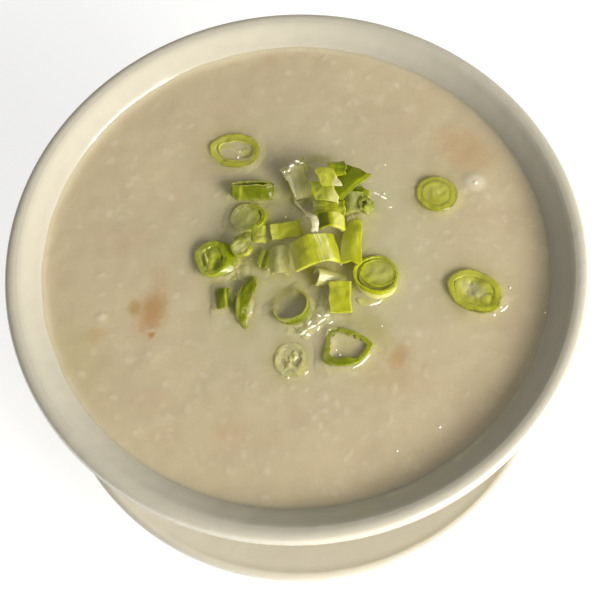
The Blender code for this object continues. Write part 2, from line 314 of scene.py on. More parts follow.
def congee_finish(settings):
    """Milky rice congee: soft flecks, a green stain round the scallions and pork under the surface."""
    finish = Finish("congee")
    warm, fleck = tuple(settings.warm), tuple(settings.fleck)
    middle = finish.attribute("middle")
    base = finish.mix(finish.step(finish.noise(24 * MM, 3), 0.35, 0.65), darker(warm, 0.95), warm)
    base = finish.mix(middle, base, tuple(settings.cool))
    blush = finish.step(finish.noise(15 * MM, 2), 0.5, 0.72) * (1 - middle)
    base = finish.mix(blush * 0.5, base, tuple(settings.blush))
    curd = finish.noise(4.2 * MM, 4, roughness=0.55)
    base = finish.mix(finish.step(curd, 0.5, 0.74) * 0.16, base, fleck)
    base = finish.mix(finish.step(curd, 0.46, 0.26) * 0.1, base, darker(warm, 0.86))
    rice = finish.attribute("rice")
    base = finish.mix(rice * 0.5, base, fleck)
    base = finish.mix(finish.attribute("stain"), base, tuple(settings.stain))
    base = finish.mix(finish.attribute("pork"), base, tuple(settings.meat))
    reach = finish.across()[0] + finish.noise(5 * MM, 3) * 2.2 * MM
    rim = finish.step(reach, TOP_RADIUS + 1.8 * MM, TOP_RADIUS + 4.8 * MM)
    base = finish.mix(rim * 0.8, base, tuple(settings.film))
    return finish.set(
        Base_Color=base,
        Roughness=0.2 + finish.noise(6 * MM, 3) * 0.12,
        Normal=finish.bump(finish.noise(0.8 * MM, 3) * 0.25 + curd * 0.5, 0.1 * MM),
        Coat_Weight=1 - 0.4 * rice,
        Coat_Roughness=0.035,
        Subsurface_Weight=0.3,
        Subsurface_Radius=(1.0, 0.95, 0.9),
        Subsurface_Scale=3 * MM,
    )


def scallion_finish(name, settings, flesh_share, cover, veiled):
    """Wet scallion: skin by its tone, a paler cut face and lining, clear white by its milk, and veins.

    flesh_share is how pale its cut face is, cover how much it hides what is under it, and veiled how far
    its outer edge fades into the congee. side is 1 on the outer skin, 0 on the lining and between on a
    cut face, tone runs from the darkest green to the palest, and veins is how far across and along the
    leaf, in millimetres.
    """
    finish = Finish(name)
    side, streak = finish.attribute("side"), finish.attribute("streak")
    veins = finish.attribute("veins", "Vector")
    fine = finish.noise(0.34, 3, (1, 14, 1), veins)
    broad = finish.noise(1.1, 2, (1, 7, 1), veins)
    cloud = finish.noise(2.2 * MM, 3)
    tone = finish.attribute("tone") + (fine - 0.5) * 0.2 + (broad - 0.5) * 0.24 + (cloud - 0.5) * 0.14
    greens = ("darkest", "deep", "fresh", "bright", "pale")
    skin = finish.ramp(tone, [tuple(getattr(settings, green)) for green in greens])
    clear = tuple(settings.clear)
    flesh = finish.mix(flesh_share + (cloud - 0.5) * 0.3, skin, tuple(settings.bright))
    lining = finish.mix(flesh_share * 0.5 + (fine - 0.5) * 0.2, skin, clear)
    inner = finish.mix(finish.step(side, 0.02, 0.3), lining, flesh)
    whole = finish.mix(finish.step(side, 0.72, 0.97), inner, skin)
    thread = finish.noise(0.26, 2, (1, 34, 1), veins)
    whole = finish.mix(finish.step(thread, 0.5, 0.64) * streak, whole, tuple(settings.thread))
    milk = finish.attribute("milk") * (1.1 - 0.3 * cloud)
    whole = finish.mix(milk, whole, clear)
    height = finish.across()[1] + (finish.noise(1.6 * MM, 3) - 0.5) * 1.1 * MM
    smear = finish.step(height, LEVEL + 1.5 * MM, LEVEL + 0.5 * MM)
    whole = finish.mix(smear * 0.3, whole, tuple(settings.smear))
    veil = finish.step(side + (cloud - 0.5) * 0.5, 0.62, 1.05) * veiled
    pits = finish.noise(0.45 * MM, 3)
    return finish.set(
        Base_Color=whole,
        Roughness=0.24 + pits * 0.2,
        Normal=finish.bump(fine * 0.5 + broad * 0.5 + pits * 0.35, 0.1 * MM),
        Alpha=cover - veil,
        Specular_IOR_Level=0.3,
        Coat_Weight=settings.wet + milk * (0.9 - settings.wet),
        Coat_Roughness=0.05,
        Subsurface_Weight=0.6,
        Subsurface_Radius=(1.0, 1.0, 0.25),
        Subsurface_Scale=1.8 * MM,
        # Emission is painted light: a faint glow in the slice's own colour that lightens its shaded sides.
        Emission_Color=whole,
        Emission_Strength=0.11,
    )


# ---------------------------------------------------------------- modelling

SHARP = radians(50)  # edges sharper than this are rounded
SMOOTH_UP_TO = radians(55)  # edges sharper than this are shaded as edges


def start(kind, name, **sizes):
    """Adds a primitive, with nothing else selected."""
    if bpy.context.mode != "OBJECT":
        bpy.ops.object.mode_set(mode="OBJECT")
    bpy.ops.object.select_all(action="DESELECT")
    getattr(bpy.ops.mesh, f"primitive_{kind}_add")(**sizes)
    piece = bpy.context.object
    piece.name = piece.data.name = name
    return piece


def select(*pieces):
    """Selects some pieces and nothing else, the first of them active."""
    bpy.ops.object.select_all(action="DESELECT")
    for piece in pieces:
        piece.select_set(True)
    bpy.context.view_layer.objects.active = pieces[0]


def edit(select="SELECT"):
    """Opens the piece for shaping, all of it selected or none of it."""
    bpy.ops.object.mode_set(mode="EDIT")
    bpy.ops.mesh.select_all(action=select)


def finish_edit():
    """Closes the piece again."""
    bpy.ops.object.mode_set(mode="OBJECT")


def extrude(x=0.0, y=0.0, z=0.0):
    """Extrudes what is selected."""
    bpy.ops.mesh.extrude_region_move(TRANSFORM_OT_translate={"value": (x, y, z)})


def resize(x, y, about=(0, 0, 0)):
    """Scales what is selected along X and Y about a point."""
    bpy.ops.transform.resize(value=(x, y, 1), center_override=about)


def face_out():
    """Turns every face outwards."""
    bpy.ops.mesh.select_all(action="SELECT")
    bpy.ops.mesh.normals_make_consistent(inside=False)
    finish_edit()


def apply(piece, kind, **settings):
    """Adds a modifier to a piece and applies it."""
    modifier = piece.modifiers.new(kind.title(), kind)
    for key, value in settings.items():
        setattr(modifier, key, value)
    bpy.context.view_layer.objects.active = piece
    bpy.ops.object.modifier_apply(modifier=modifier.name)


def soften(piece, width):
    """Rounds the edges of a piece and subdivides it once."""
    apply(piece, "BEVEL", width=width, segments=2, limit_method="ANGLE", angle_limit=SHARP)
    apply(piece, "SUBSURF", levels=1, render_levels=1)


def read(layer, field, width=1, kind=np.float32):
    """A number for each item of a layer, or a row of so many numbers."""
    numbers = np.empty(len(layer) * width, kind)
    layer.foreach_get(field, numbers)
    return numbers.reshape(-1, width) if width > 1 else numbers


def points(piece):
    """Where the piece's vertices are, as rows of an array."""
    return read(piece.data.vertices, "co", 3, float)


def normals(piece):
    """Which way the surface faces at each vertex."""
    return read(piece.data.vertex_normals, "vector", 3)


def move(piece, at):
    """Moves the piece's vertices to new points."""
    piece.data.vertices.foreach_set("co", at.ravel())
    piece.data.update()


def mark(piece, name, numbers):
    """Keeps a number, or a vector, for each vertex."""
    numbers = np.asarray(numbers, np.float32)
    kind, field = ("FLOAT_VECTOR", "vector") if numbers.ndim == 2 else ("FLOAT", "value")
    piece.data.attributes.new(name, kind, "POINT").data.foreach_set(field, numbers.ravel())


def kept(piece, name):
    """The numbers kept for each vertex."""
    return read(piece.data.attributes[name].data, "value")


def surface_of(*meshes):
    """The surface of some meshes as one tree that finds its nearest point."""
    corners, faces = [], []
    for mesh in meshes:
        first = len(corners)
        corners += [vertex.co.copy() for vertex in mesh.vertices]
        faces += [[first + i for i in polygon.vertices] for polygon in mesh.polygons]
    return BVHTree.FromPolygons(corners, faces)


def shares(numbers):
    """Each number as a share of the way from the least of them to the greatest."""
    return (numbers - numbers.min()) / max(np.ptp(numbers), 1e-9)


def wander(at, size, seed):
    """Smooth noise from -1 to 1 at each point, with lumps of that size."""
    return np.array([noise.noise(Vector(p) / size + Vector((seed * 7.3, seed * 3.1, seed))) for p in at])


def wrinkle(piece, size, depth, seed):
    """Moves the surface in and out by noise."""
    at = points(piece)
    move(piece, at + normals(piece) * (wander(at, size, seed) * depth)[:, None])


def warp(piece, size, depth, seed):
    """Pushes the piece out of true, each way by its own noise."""
    at = points(piece)
    move(piece, at + np.column_stack([wander(at, size, seed + way) for way in (11, 17, 23)]) * depth)


def keep(piece, material, slot, *nodes):
    """Finishes a piece: shaded, painted, riding on the bowl, and standing for its solids."""
    select(piece)
    bpy.ops.object.shade_smooth_by_angle(angle=SMOOTH_UP_TO)
    piece.data.materials.clear()
    piece.data.materials.append(material)
    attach(piece, BODY)
    if nodes:
        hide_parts(*nodes)


def joined(name, parts):
    """Joins parts into one piece."""
    select(*parts)
    if len(parts) > 1:
        bpy.ops.object.join()
    parts[0].name = parts[0].data.name = name
    return parts[0]


def smooth(line, steps=4):
    """A Catmull-Rom curve through the points of a line, with so many steps between each pair."""
    line = [Vector(p) for p in line]
    ends = [2 * line[0] - line[1], *line, 2 * line[-1] - line[-2]]
    curve = []
    for before, a, b, after in zip(ends, ends[1:], ends[2:], ends[3:]):
        for step in range(steps):
            t = step / steps
            bend = (2 * before - 5 * a + 4 * b - after) * t * t + (3 * a - before - 3 * b + after) * t**3
            curve.append(0.5 * (2 * a + (b - before) * t + bend))
    return curve + [line[-1]]


def arc(centre, radius, first, last, steps):
    """Points on a circle from one angle to another, in degrees."""
    turns = [radians(first + (last - first) * i / steps) for i in range(steps + 1)]
    return [Vector(centre) + radius * Vector((cos(a), sin(a))) for a in turns]


def turned(name, outline, around):
    """Spins an outline, given as distance from the axis and height, from one point extruded along it."""
    piece = start("plane", name, size=MM)
    outline = [Vector(p) for p in outline]
    edit()
    bpy.ops.mesh.merge(type="CENTER")
    bpy.ops.transform.translate(value=(outline[0].x, 0, outline[0].y))
    for a, b in zip(outline, outline[1:]):
        extrude(b.x - a.x, 0, b.y - a.y)
    bpy.ops.mesh.select_all(action="SELECT")
    bpy.ops.mesh.spin(steps=around, angle=tau, center=(0, 0, 0), axis=(0, 0, 1))
    bpy.ops.mesh.select_all(action="SELECT")
    bpy.ops.mesh.remove_doubles(threshold=0.002 * MM)
    face_out()
    return piece


def profile(line, steps, foot=0.0):
    """A smooth part of an outline, its points in millimetres from the axis and above the foot."""
    return smooth([(x * MM, foot + z * MM) for x, z in line], steps)


def foot_ring(foot, *edges):
    """The two rounded edges of a foot ring, the inner one first, as distance from the axis and rounding."""
    (inner, tight), (outer, wide) = ((x * MM, rounding * MM) for x, rounding in edges)
    return arc((inner, foot + tight), tight, 200, 270, 4) + arc((outer, foot + wide), wide, 270, 350, 4)


# ---------------------------------------------------------------- crockery


def bowl_wall():
    """The bowl's inner wall from the axis up, flaring out to the lip."""
    wall = [(0, 7.5), (22, 9.3), (42, 20.1), (56.4, 38.2), (65.3, 57.2), (68.1, 64.4), (70.6, 68)]
    wall = [(x * MM, BOWL_FOOT + z * MM) for x, z in wall]
    return smooth([*wall, (RIM_RADIUS - bpy.context.scene.crockery.lip, RIM_HEIGHT - 1.05 * MM)], 9)


def wall_radius(height):
    """How far the bowl's inner wall is from the axis at a height."""
    wall = bowl_wall()
    return np.interp(height, [p.y for p in wall], [p.x for p in wall])


class CONGEE_OT_saucer(Operator):
    """Turns the saucer: a flat well, a rising flange with a rounded edge, and a foot ring"""

    bl_idname = "congee.saucer"
    bl_label = "Saucer"

    def execute(self, context):
        crockery = context.scene.crockery
        underside, well, rounding = 2.2 * MM, 5 * MM, 1.7 * MM
        outline = [(0, underside), (31 * MM, underside), *foot_ring(0, (35, 1), (37.3, 1.1))]
        outline += profile([(39.4, 2.9), (47, 4.6), (58, 7.4), (68, 10.6), (75, 13.2)], 5)
        outline += arc((SAUCER_RADIUS - rounding, SAUCER_TOP - rounding), rounding, -55, 125, 14)
        flange = [(75.4, 16.5), (71, 15), (62, 12), (53, 9.2), (45, 6.9), (39.5, 5.5), (35, 5.05)]
        outline += [*profile(flange, 4), (20 * MM, well), (0, well)]
        piece = turned("saucer_glazed", outline, crockery.around)
        glaze = glaze_finish("saucer_glaze", crockery, tuple(crockery.saucer), 0, SAUCER_TOP)
        keep(piece, glaze, "saucer_glaze", "saucer")
        return {"FINISHED"}


class CONGEE_OT_bowl(Operator):
    """Turns the bowl: a foot ring, a rising wall, and a rounded lip with a bead along its outer edge"""

    bl_idname = "congee.bowl"
    bl_label = "Bowl"

    def execute(self, context):
        crockery = context.scene.crockery
        underside, bead = BOWL_FOOT + 3 * MM, 0.7 * MM
        outline = [(0, underside), (25.5 * MM, underside), *foot_ring(BOWL_FOOT, (29.4, 0.9), (31, 1))]
        wall = [(33, 3.6), (36.4, 7.2), (49, 17.7), (62, 35.7), (67.4, 47.2), (71.2, 56.7), (74.6, 63.3)]
        outline += profile([*wall, (78.4, 67.9)], 6, BOWL_FOOT)
        outline += arc((RIM_RADIUS - bead, RIM_HEIGHT - 3 * MM), bead, -50, 50, 8)
        crest = [(0.12, 2.2), (0.25, 1.3), (0.7, 0.45), (1.5, 0.06), (2.6, 0), (3.9, 0.3)]
        outline += smooth([(RIM_RADIUS - x * MM, RIM_HEIGHT - z * MM) for x, z in crest], 5)
        outline += reversed(bowl_wall())
        piece = turned("bowl_glazed", outline, crockery.around)
        glaze = glaze_finish("bowl_glaze", crockery, tuple(crockery.glaze), BOWL_FOOT, RIM_HEIGHT)
        keep(piece, glaze, "bowl_glaze", "bowl")
        return {"FINISHED"}


# ---------------------------------------------------------------- congee

TOP_CELLS = 272  # squares along each side of the grid that becomes the congee's top
RISE_ROWS = 9  # rows that climb from the flat to the wall
SIDE_ROWS = 6  # rows down along the wall
GARNISHED = 64 * MM  # how far from the axis slices lie

# Places on the congee, in millimetres from the bowl's axis. The rice lies thickest within a distance of a
# place. A spot is an oval: x, y, its two half-widths, its turn in degrees and its strength.
THICK_WITH_RICE = [(-30, -44, 20), (14, -50, 20), (-44, -30, 14), (48, 4, 16), (20, 52, 18), (-52, 20, 12)]
PORK = [
    (-39.9, -12.6, 6.6, 3.7, 76, 0.85), (-44.4, -11.6, 2, 2.6, 10, 0.6),
    (-40.4, -19.6, 1.1, 0.8, 30, 1.2), (-37.5, -3.5, 3.4, 5.5, 10, 0.25),
    (-55.5, -18.5, 3.2, 2.4, 20, 0.3), (51.3, 30.6, 9, 6.2, -40, 0.45), (25.4, -31.6, 4.2, 2.6, 60, 0.6),
    (22.5, -35, 8, 6, 30, 0.22), (-20, -48, 5, 4, 0, 0.2),
]
STAINS = [
    (19, -23, 5, 8.6, 28, 0.5), (14.2, -19.4, 3, 2.6, 0, 0.5), (12, -27.6, 4.4, 4, 0, 0.4),
    (8.9, 31.2, 4.2, 1.7, -4, 0.6), (-21, -5.2, 4.2, 1.9, 0, 0.55), (-3.2, -22.5, 4.6, 2.5, 30, 0.25),
    (1.5, 17, 6, 8, 0, 0.45), (-17, -9, 6, 4, 60, 0.4), (-60.5, -24, 7, 12, 20, 0.16),
    (-44.9, -11.2, 1.8, 2.4, 0, 0.4),
]
CLUSTER = (1, 6, 23, 21, 0)  # where the slices lie thickest
MIDDLE = (4, 2, 38, 38, 0)  # where the slices cool the congee's colour
# Lumps under the skin: an oval, then its rise in millimetres and how pale it is.
LUMPS = [(52.6, 19.9, 2.9, 2.8, 0, 0.4, 2.0), (-54.1, -13.2, 1.3, 1.1, 0, 0.2, 1.2)]


def spot(x, y, place, power=2.0, rough=None):
    """How strongly each point lies in an oval spot: 1 at its centre, falling off smoothly past its edge."""
    centre_x, centre_y, long, wide, turn = place[:5]
    turn = radians(turn)
    along = (x - centre_x * MM) * cos(turn) + (y - centre_y * MM) * sin(turn)
    aside = (y - centre_y * MM) * cos(turn) - (x - centre_x * MM) * sin(turn)
    reach = np.hypot(along / (long * MM), aside / (wide * MM))
    if rough is not None:
        reach = reach * (1 + rough)
    return np.exp(-(reach**power))


def rice_grains(count):
    """Broken grains as oval spots: thick in some places, thin in others."""
    draw = np.random.default_rng(7)
    grains = []
    while len(grains) < count:
        radius, turn = 68 * draw.random() ** 0.5, draw.random() * tau
        x, y = radius * cos(turn), radius * sin(turn)
        crowd = max(exp(-((x - a) ** 2 + (y - b) ** 2) / r**2) for a, b, r in THICK_WITH_RICE)
        if draw.random() < 0.12 + 0.88 * crowd:
            long, wide = draw.uniform(0.6, 1.7), draw.uniform(0.5, 1.1)
            grains.append((x, y, long, wide, draw.uniform(0, 180), draw.uniform(0.2, 1) ** 1.8))
    return grains


def rice_shown(x, y, count, ragged):
    """How much broken rice shows at each point."""
    rice = np.zeros(len(x))
    for grain in rice_grains(count):
        near = np.hypot(x - grain[0] * MM, y - grain[1] * MM) < 4 * MM
        rice[near] = np.maximum(rice[near], grain[5] * spot(x[near], y[near], grain, 4, ragged[near]))
    return rice


def edge_relief(flat, reach):
    """Fits the edge to the wall.

    It returns how many times further out each point lies, its height, and how clear it is of the wall,
    from 0 to 1.
    """
    radius = np.hypot(flat[:, 0], flat[:, 1])
    rim = flat * (RIM_RADIUS / np.maximum(radius, MM))[:, None]
    creep = EDGE_LEVEL + 0.2 * MM + wander(rim, 9 * MM, 3) * 0.28 * MM
    wall = wall_radius(creep)
    share = np.clip(radius / TOP_RADIUS - 1, 0, None) / (wall_radius(EDGE_LEVEL) / TOP_RADIUS - 1)
    stretched = np.where(share > 0, TOP_RADIUS + share * (wall - TOP_RADIUS), radius)
    height = LEVEL + (creep - LEVEL) * np.exp(-(wall - stretched) / reach)
    return stretched / np.maximum(radius, 1e-9), height, np.clip((wall - stretched) / (2 * MM), 0, 1)


def slice_relief(x, y):
    """How far the congee climbs at each slice or sinks under it, and how far each point is from a slice."""
    slices = [node.data for name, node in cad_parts.items() if name not in ("bowl", "saucer", "congee")]
    tree, up = surface_of(*slices), Vector((0, 0, 1))
    away, climb, spread = np.full(len(x), 1.0), np.zeros(len(x)), np.full(len(x), MM)
    under = np.zeros(len(x), bool)
    for i in np.nonzero(np.hypot(x, y) < GARNISHED)[0]:
        here = Vector((x[i], y[i], LEVEL))
        nearest, _, _, distance = tree.find_nearest(here, 12 * MM)
        if nearest is None:
            continue
        away[i] = distance
        facing = tree.ray_cast(here, up)[1]
        under[i] = facing is not None and facing.z > 0
        inward = here - nearest if under[i] else nearest - here
        within = nearest + Vector((inward.x, inward.y, 0)).normalized() * 0.4 * MM + 0.2 * MM * up
        over = tree.ray_cast(within, up)[0]
        rise = over.z - LEVEL if over is not None else 0.3 * MM
        climb[i] = min(max(rise - 0.2 * MM, 0.05 * MM), 0.6 * MM)
        spread[i] = (1.5 if rise < 1.7 * MM else 0.9) * MM
    outside = np.where(under, 0, away)
    sunk = np.where(under, np.clip((away - 0.5 * MM) / (0.7 * MM), 0, 1), 0)
    return climb * np.exp(-outside / spread) * (1 - sunk) - 0.9 * MM * sunk, outside


def strongest(x, y, places, rough, least):
    """The strongest of some ragged spots at each point, and never less than least."""
    return np.max([least, *(place[5] * spot(x, y, place, 3, rough) for place in places)], axis=0)


def congee_relief(piece, settings):
    """Raises the congee's top, and marks its rice, the green stain, the pork and the cooler middle."""
    at = points(piece)
    top = at[:, 2] > LEVEL - 0.5 * MM
    x, y = at[top, 0], at[top, 1]
    flat = np.column_stack((x, y, np.zeros(len(x))))
    further, height, clear = edge_relief(flat, settings.reach)
    ragged = wander(flat, 1.3 * MM, 5) * 0.55
    rice = rice_shown(x, y, settings.grains, ragged)
    height += clear * (wander(flat, 17 * MM, 1) * 0.16 + wander(flat, 5 * MM, 2) * 0.08) * MM
    height += clear * rice * 0.05 * MM
    for lump in LUMPS:
        height += spot(x, y, lump, 3) * lump[5] * MM
        rice = np.maximum(rice, spot(x, y, lump, 4) * lump[6])
    climb, outside = slice_relief(x, y)
    at[top, 0], at[top, 1], at[top, 2] = x * further, y * further, height + climb
    move(piece, at)
    cluster = spot(x, y, CLUSTER, 4)
    stain = (0.45 + 0.47 * cluster) * np.exp(-outside / ((2.3 + 1.5 * cluster) * MM))
    marks = {
        "rice": rice,
        "stain": strongest(x, y, STAINS, ragged * 0.5, stain),
        "pork": strongest(x, y, PORK, ragged * 0.5, np.zeros(len(x))),
        "middle": spot(x, y, MIDDLE, 4),
    }
    for name, numbers in marks.items():
        whole = np.zeros(len(at))
        whole[top] = numbers
        mark(piece, name, whole)


class CONGEE_OT_congee(Operator):
    """Fills the bowl with congee: a fine grid made round, its edge extruded out to the wall and down"""

    bl_idname = "congee.congee"
    bl_label = "Congee"

    def execute(self, context):
        settings, place = context.scene.congee, (0, 0, LEVEL)
        cells = {"x_subdivisions": TOP_CELLS, "y_subdivisions": TOP_CELLS}
        piece = start("grid", "congee_top", size=2, location=place, **cells)
        at = points(piece)
        x, y = at[:, 0].copy(), at[:, 1].copy()
        round_x, round_y = x * np.sqrt(1 - y * y / 2), y * np.sqrt(1 - x * x / 2)
        closer = TOP_RADIUS * (0.82 + 0.18 * (round_x**2 + round_y**2))
        at[:, 0], at[:, 1] = round_x * closer, round_y * closer
        move(piece, at)
        bpy.ops.object.transform_apply(location=True)
        edit("DESELECT")
        bpy.ops.mesh.select_mode(type="EDGE")
        bpy.ops.mesh.select_non_manifold(extend=False, use_verts=False)
        edge, reach, level = wall_radius(EDGE_LEVEL), TOP_RADIUS, LEVEL
        for row in range(1, RISE_ROWS + 1):
            further = TOP_RADIUS + (edge - TOP_RADIUS) * row / RISE_ROWS
            extrude()
            resize(further / reach, further / reach, place)
            reach = further
        for row in range(1, SIDE_ROWS + 1):
            lower = LEVEL - (LEVEL - BOWL_FOOT - 8 * MM) * (row / SIDE_ROWS)
            narrower = wall_radius(lower) - 0.3 * MM
            extrude(0, 0, lower - level)
            resize(narrower / reach, narrower / reach, (0, 0, lower))
            reach, level = narrower, lower
        bpy.ops.mesh.edge_face_add()
        face_out()
        congee_relief(piece, settings)
        keep(piece, congee_finish(settings), "congee", "congee")
        return {"FINISHED"}


# ---------------------------------------------------------------- scallions

RING_SIDES = 44
RING_ROWS = 6  # rows from a ring's cut face down to its foot
RING_STEPS = (0.14, 0.5, 0.86, 1)  # where the rows of the cut face lie, from the skin to the lining
CORE_STEPS = 12  # rows from the edge of the rolled-up leaves to their middle
STRIP_CELLS = {"x_subdivisions": 20, "y_subdivisions": 14}

# The outline of the ring that dried to a triangle, in millimetres from its middle.
CORNERS = [
    (7.2, -0.1), (4, 3.4), (-1.2, 5.5), (-4.7, 5.7), (-5.8, 1.2), (-6.8, -3.6), (-4.6, -5.2), (0.4, -5.4),
    (4.6, -3.4),
]


def corner_reach(angles):
    """The distance from the middle to the edge of the ring that dried to a triangle, at each angle."""
    edge = smooth([Vector(c) * MM for c in [*CORNERS, CORNERS[0]]], 6)
    turns = np.unwrap([atan2(p.y, p.x) for p in edge])
    order = np.argsort(turns % tau)
    reaches = np.array([p.length for p in edge])
    return np.interp(angles % tau, (turns % tau)[order], reaches[order], period=tau)


def round_noise(angles, lumps, seed):
    """Noise at each angle round a ring, with about so many lumps each way, that meets itself after a turn."""
    return np.array([noise.noise((cos(a) * lumps, sin(a) * lumps, seed)) for a in angles])


def ring(
    name, across, wall, tall, slant=(0, 0), cornered=False, uneven=0.03, ragged=0.0, drop=0.0, place=(0, 0),
    seed=1,
):
    """A ring cut from the hollow leaf, its mouth centred on the origin and its body below.

    A circle is extruded inwards to the lining and down to the foot in rows. uneven is how far, as a share
    of its size, the ring strays from an even oval, and ragged how far its lining strays besides. drop and
    place put it inside another ring.
    """
    hole = [1 - 2 * wall / across[axis] for axis in (0, 1)]
    piece = start("circle", name, vertices=RING_SIDES, radius=1, fill_type="NOTHING")
    edit()
    size = [1, 1]
    for share in RING_STEPS:
        inner = [1 - share * (1 - h) for h in hole]
        extrude()
        resize(inner[0] / size[0], inner[1] / size[1])
        size = inner
    bpy.ops.mesh.select_all(action="SELECT")
    for _ in range(RING_ROWS):
        extrude(0, 0, -1 / RING_ROWS)
    face_out()

    def edge_at(angles):
        """The ring's outer edge at each angle, as a share of the oval or a distance if it is cornered."""
        edge = corner_reach(angles) if cornered else 1
        return (1 + 2 * uneven * round_noise(angles, 1.4, seed * 5.7)) * edge

    def jag(angles, reach):
        """How far the lining strays at each angle, fading to nothing at the skin."""
        within = np.clip((1 - reach) / (1 - np.mean(hole)), 0, 1)
        return 1 + ragged * within * round_noise(angles, 3.6, seed * 9.1)

    def middle(lower):
        """The middle of the ring at a share of the way down to its foot."""
        return (np.array(slant) * lower + np.array(place)) * MM

    size = np.array((1, 1) if cornered else (across[0] / 2, across[1] / 2))
    at = points(piece)
    lower = -at[:, 2:]
    angles, reach = np.arctan2(at[:, 1], at[:, 0]), np.hypot(at[:, 0], at[:, 1])
    edge = edge_at(angles) * jag(angles, reach)
    at[:, :2] = at[:, :2] * size * edge[:, None] + middle(lower)
    at[:, 2:] = -lower * tall - drop * MM
    move(piece, at)
    soften(piece, min(0.16 * MM, wall * 0.2))
    at = points(piece)
    x, y = ((at[:, :2] - middle((-at[:, 2:] - drop * MM) / tall)) / size).T
    angles = np.arctan2(y, x)
    out = np.hypot(x, y) / edge_at(angles)
    out = out / jag(angles, out)
    mark(piece, "side", np.clip((out - np.mean(hole)) / (1 - np.mean(hole)), 0, 1))
    girth = (across[0] + across[1]) / 4 / MM
    mark(piece, "veins", np.column_stack((angles * girth, at[:, 2] / MM, np.full(len(at), seed))))
    return piece


def core(name, across, drop, place=(0, 0), whorls=0.0, relief=0.1, seed=1):
    """The leaves rolled up inside a ring, as a disc below its cut with a spiral ridge."""
    piece = start("circle", name, vertices=RING_SIDES, radius=1, fill_type="NGON")
    edit()
    for _ in range(CORE_STEPS):
        bpy.ops.mesh.inset(thickness=0.9 / CORE_STEPS)
    bpy.ops.mesh.poke()
    finish_edit()
    apply(piece, "SUBSURF", levels=1, render_levels=1)
    at = points(piece)
    reach, angles = np.hypot(at[:, 0], at[:, 1]), np.arctan2(at[:, 1], at[:, 0])
    stray = wander(at * 1.6, 1, seed)
    ridge = np.cos(whorls * tau * reach * (1 + 0.12 * stray) - angles + stray) if whorls else stray * 1.5
    edge = 1 + 0.07 * wander(at * [1.4, 1.4, 0], 1, seed + 3)
    at[:, 0] = at[:, 0] * edge * across[0] / 2 + place[0] * MM
    at[:, 1] = at[:, 1] * edge * across[1] / 2 + place[1] * MM
    at[:, 2] = (relief * ridge - drop) * MM
    move(piece, at)
    mark(piece, "side", np.clip(0.4 + 0.25 * ridge, 0, 1))
    mark(piece, "veins", np.column_stack((reach * across[0] / 2 / MM, angles * 0.3, np.full(len(at), seed))))
    return piece


def along(steps, u):
    """Values given at even steps from -0.5 to 0.5, smoothly joined, at each u."""
    curve = smooth([(i / (len(steps) - 1) - 0.5, step) for i, step in enumerate(steps)], 6)
    return np.interp(u, [p.x for p in curve], [p.y for p in curve])


def strip(
    name, length, width, wall, bend, taper=(1, 1, 1), skew=0.0, curl=0.0, bow=(0, 0, 0), frayed=0.0, seed=1
):
    """A strip cut from the leaf's wall, its crest on the origin and its length along X.

    bend is the angle that it wraps round its length, taper its width at even steps along it, skew the
    slope of its cut ends, curl the angle that it turns through along its length, bow how far it strays
    sideways at even steps along it, and frayed how far its cut ends stray from straight.
    """
    piece = start("grid", name, size=1, **STRIP_CELLS)
    at = points(piece)
    u, v = at[:, 0], at[:, 1]
    full = width / 2 / sin(radians(bend) / 2)
    radius = full * along(taper, u)
    turns = radians(bend) * v
    y = radius * np.sin(turns)
    x = u * length + skew * y
    if frayed:
        tear = np.array([noise.noise((q * 3.1, round(p) * 5.3, seed * 3.7)) for p, q in zip(u * 2, v)])
        x = x + frayed * MM * 2 * tear * np.abs(2 * u) ** 3
    y = y + along(bow, u) * MM
    z = radius * np.cos(turns) - full
    if curl:
        round_x = length / radians(curl)
        turn = x / round_x
        x, z = (round_x + z) * np.sin(turn), (round_x + z) * np.cos(turn) - round_x
    move(piece, np.column_stack((x, y, z - wall / 2)))
    sheet = surface_of(piece.data)
    apply(piece, "SOLIDIFY", thickness=wall, offset=0)
    soften(piece, min(0.14 * MM, wall * 0.2))
    at = points(piece)
    side = []
    for p in at:
        found, normal, _, _ = sheet.find_nearest(Vector(p))
        side.append(0.5 + (Vector(p) - found).dot(normal) / wall)
    mark(piece, "side", np.clip(np.array(side) * 1.06 - 0.03, 0, 1))
    mark(piece, "veins", np.column_stack((at[:, 1], at[:, 0], np.full(len(at), seed * MM))) / MM)
    return piece


def paint(piece, heading, bands, spots=(), uneven=0.08, seed=1):
    """Marks each point's tone, 0 for the darkest green to 1 for the palest, and its milk, or share of lining.

    bands are the tone and the milk at shares of the way across the piece towards heading, or from its
    foot to its top where heading is None. spots are ovals in millimetres with a tone, a milk and a rise
    of their own.
    """
    at = points(piece)
    if heading is None:
        share = shares(at[:, 2])
    else:
        share = shares(at[:, 0] * cos(radians(heading)) + at[:, 1] * sin(radians(heading)))
    shades, milk = (np.interp(share, [b[0] for b in bands], [b[i] for b in bands]) for i in (1, 2))
    for place in spots:
        within = spot(at[:, 0], at[:, 1], place, 4)
        shades += (place[5] - shades) * within
        milk += (place[6] - milk) * within
        at[:, 2] += place[7] * MM * within
    move(piece, at)
    mark(piece, "tone", shades + wander(at, 1.8 * MM, seed) * uneven)
    mark(piece, "milk", np.clip(milk, 0, 1))


def streak(piece, low, high, strength):
    """Marks how strongly white veins show through, from one share to another of the way across the veins."""
    share = shares(read(piece.data.attributes["veins"].data, "vector", 3)[:, 0])
    mark(piece, "streak", strength * np.clip(np.minimum(share - low, high - share) / 0.06, 0, 1))


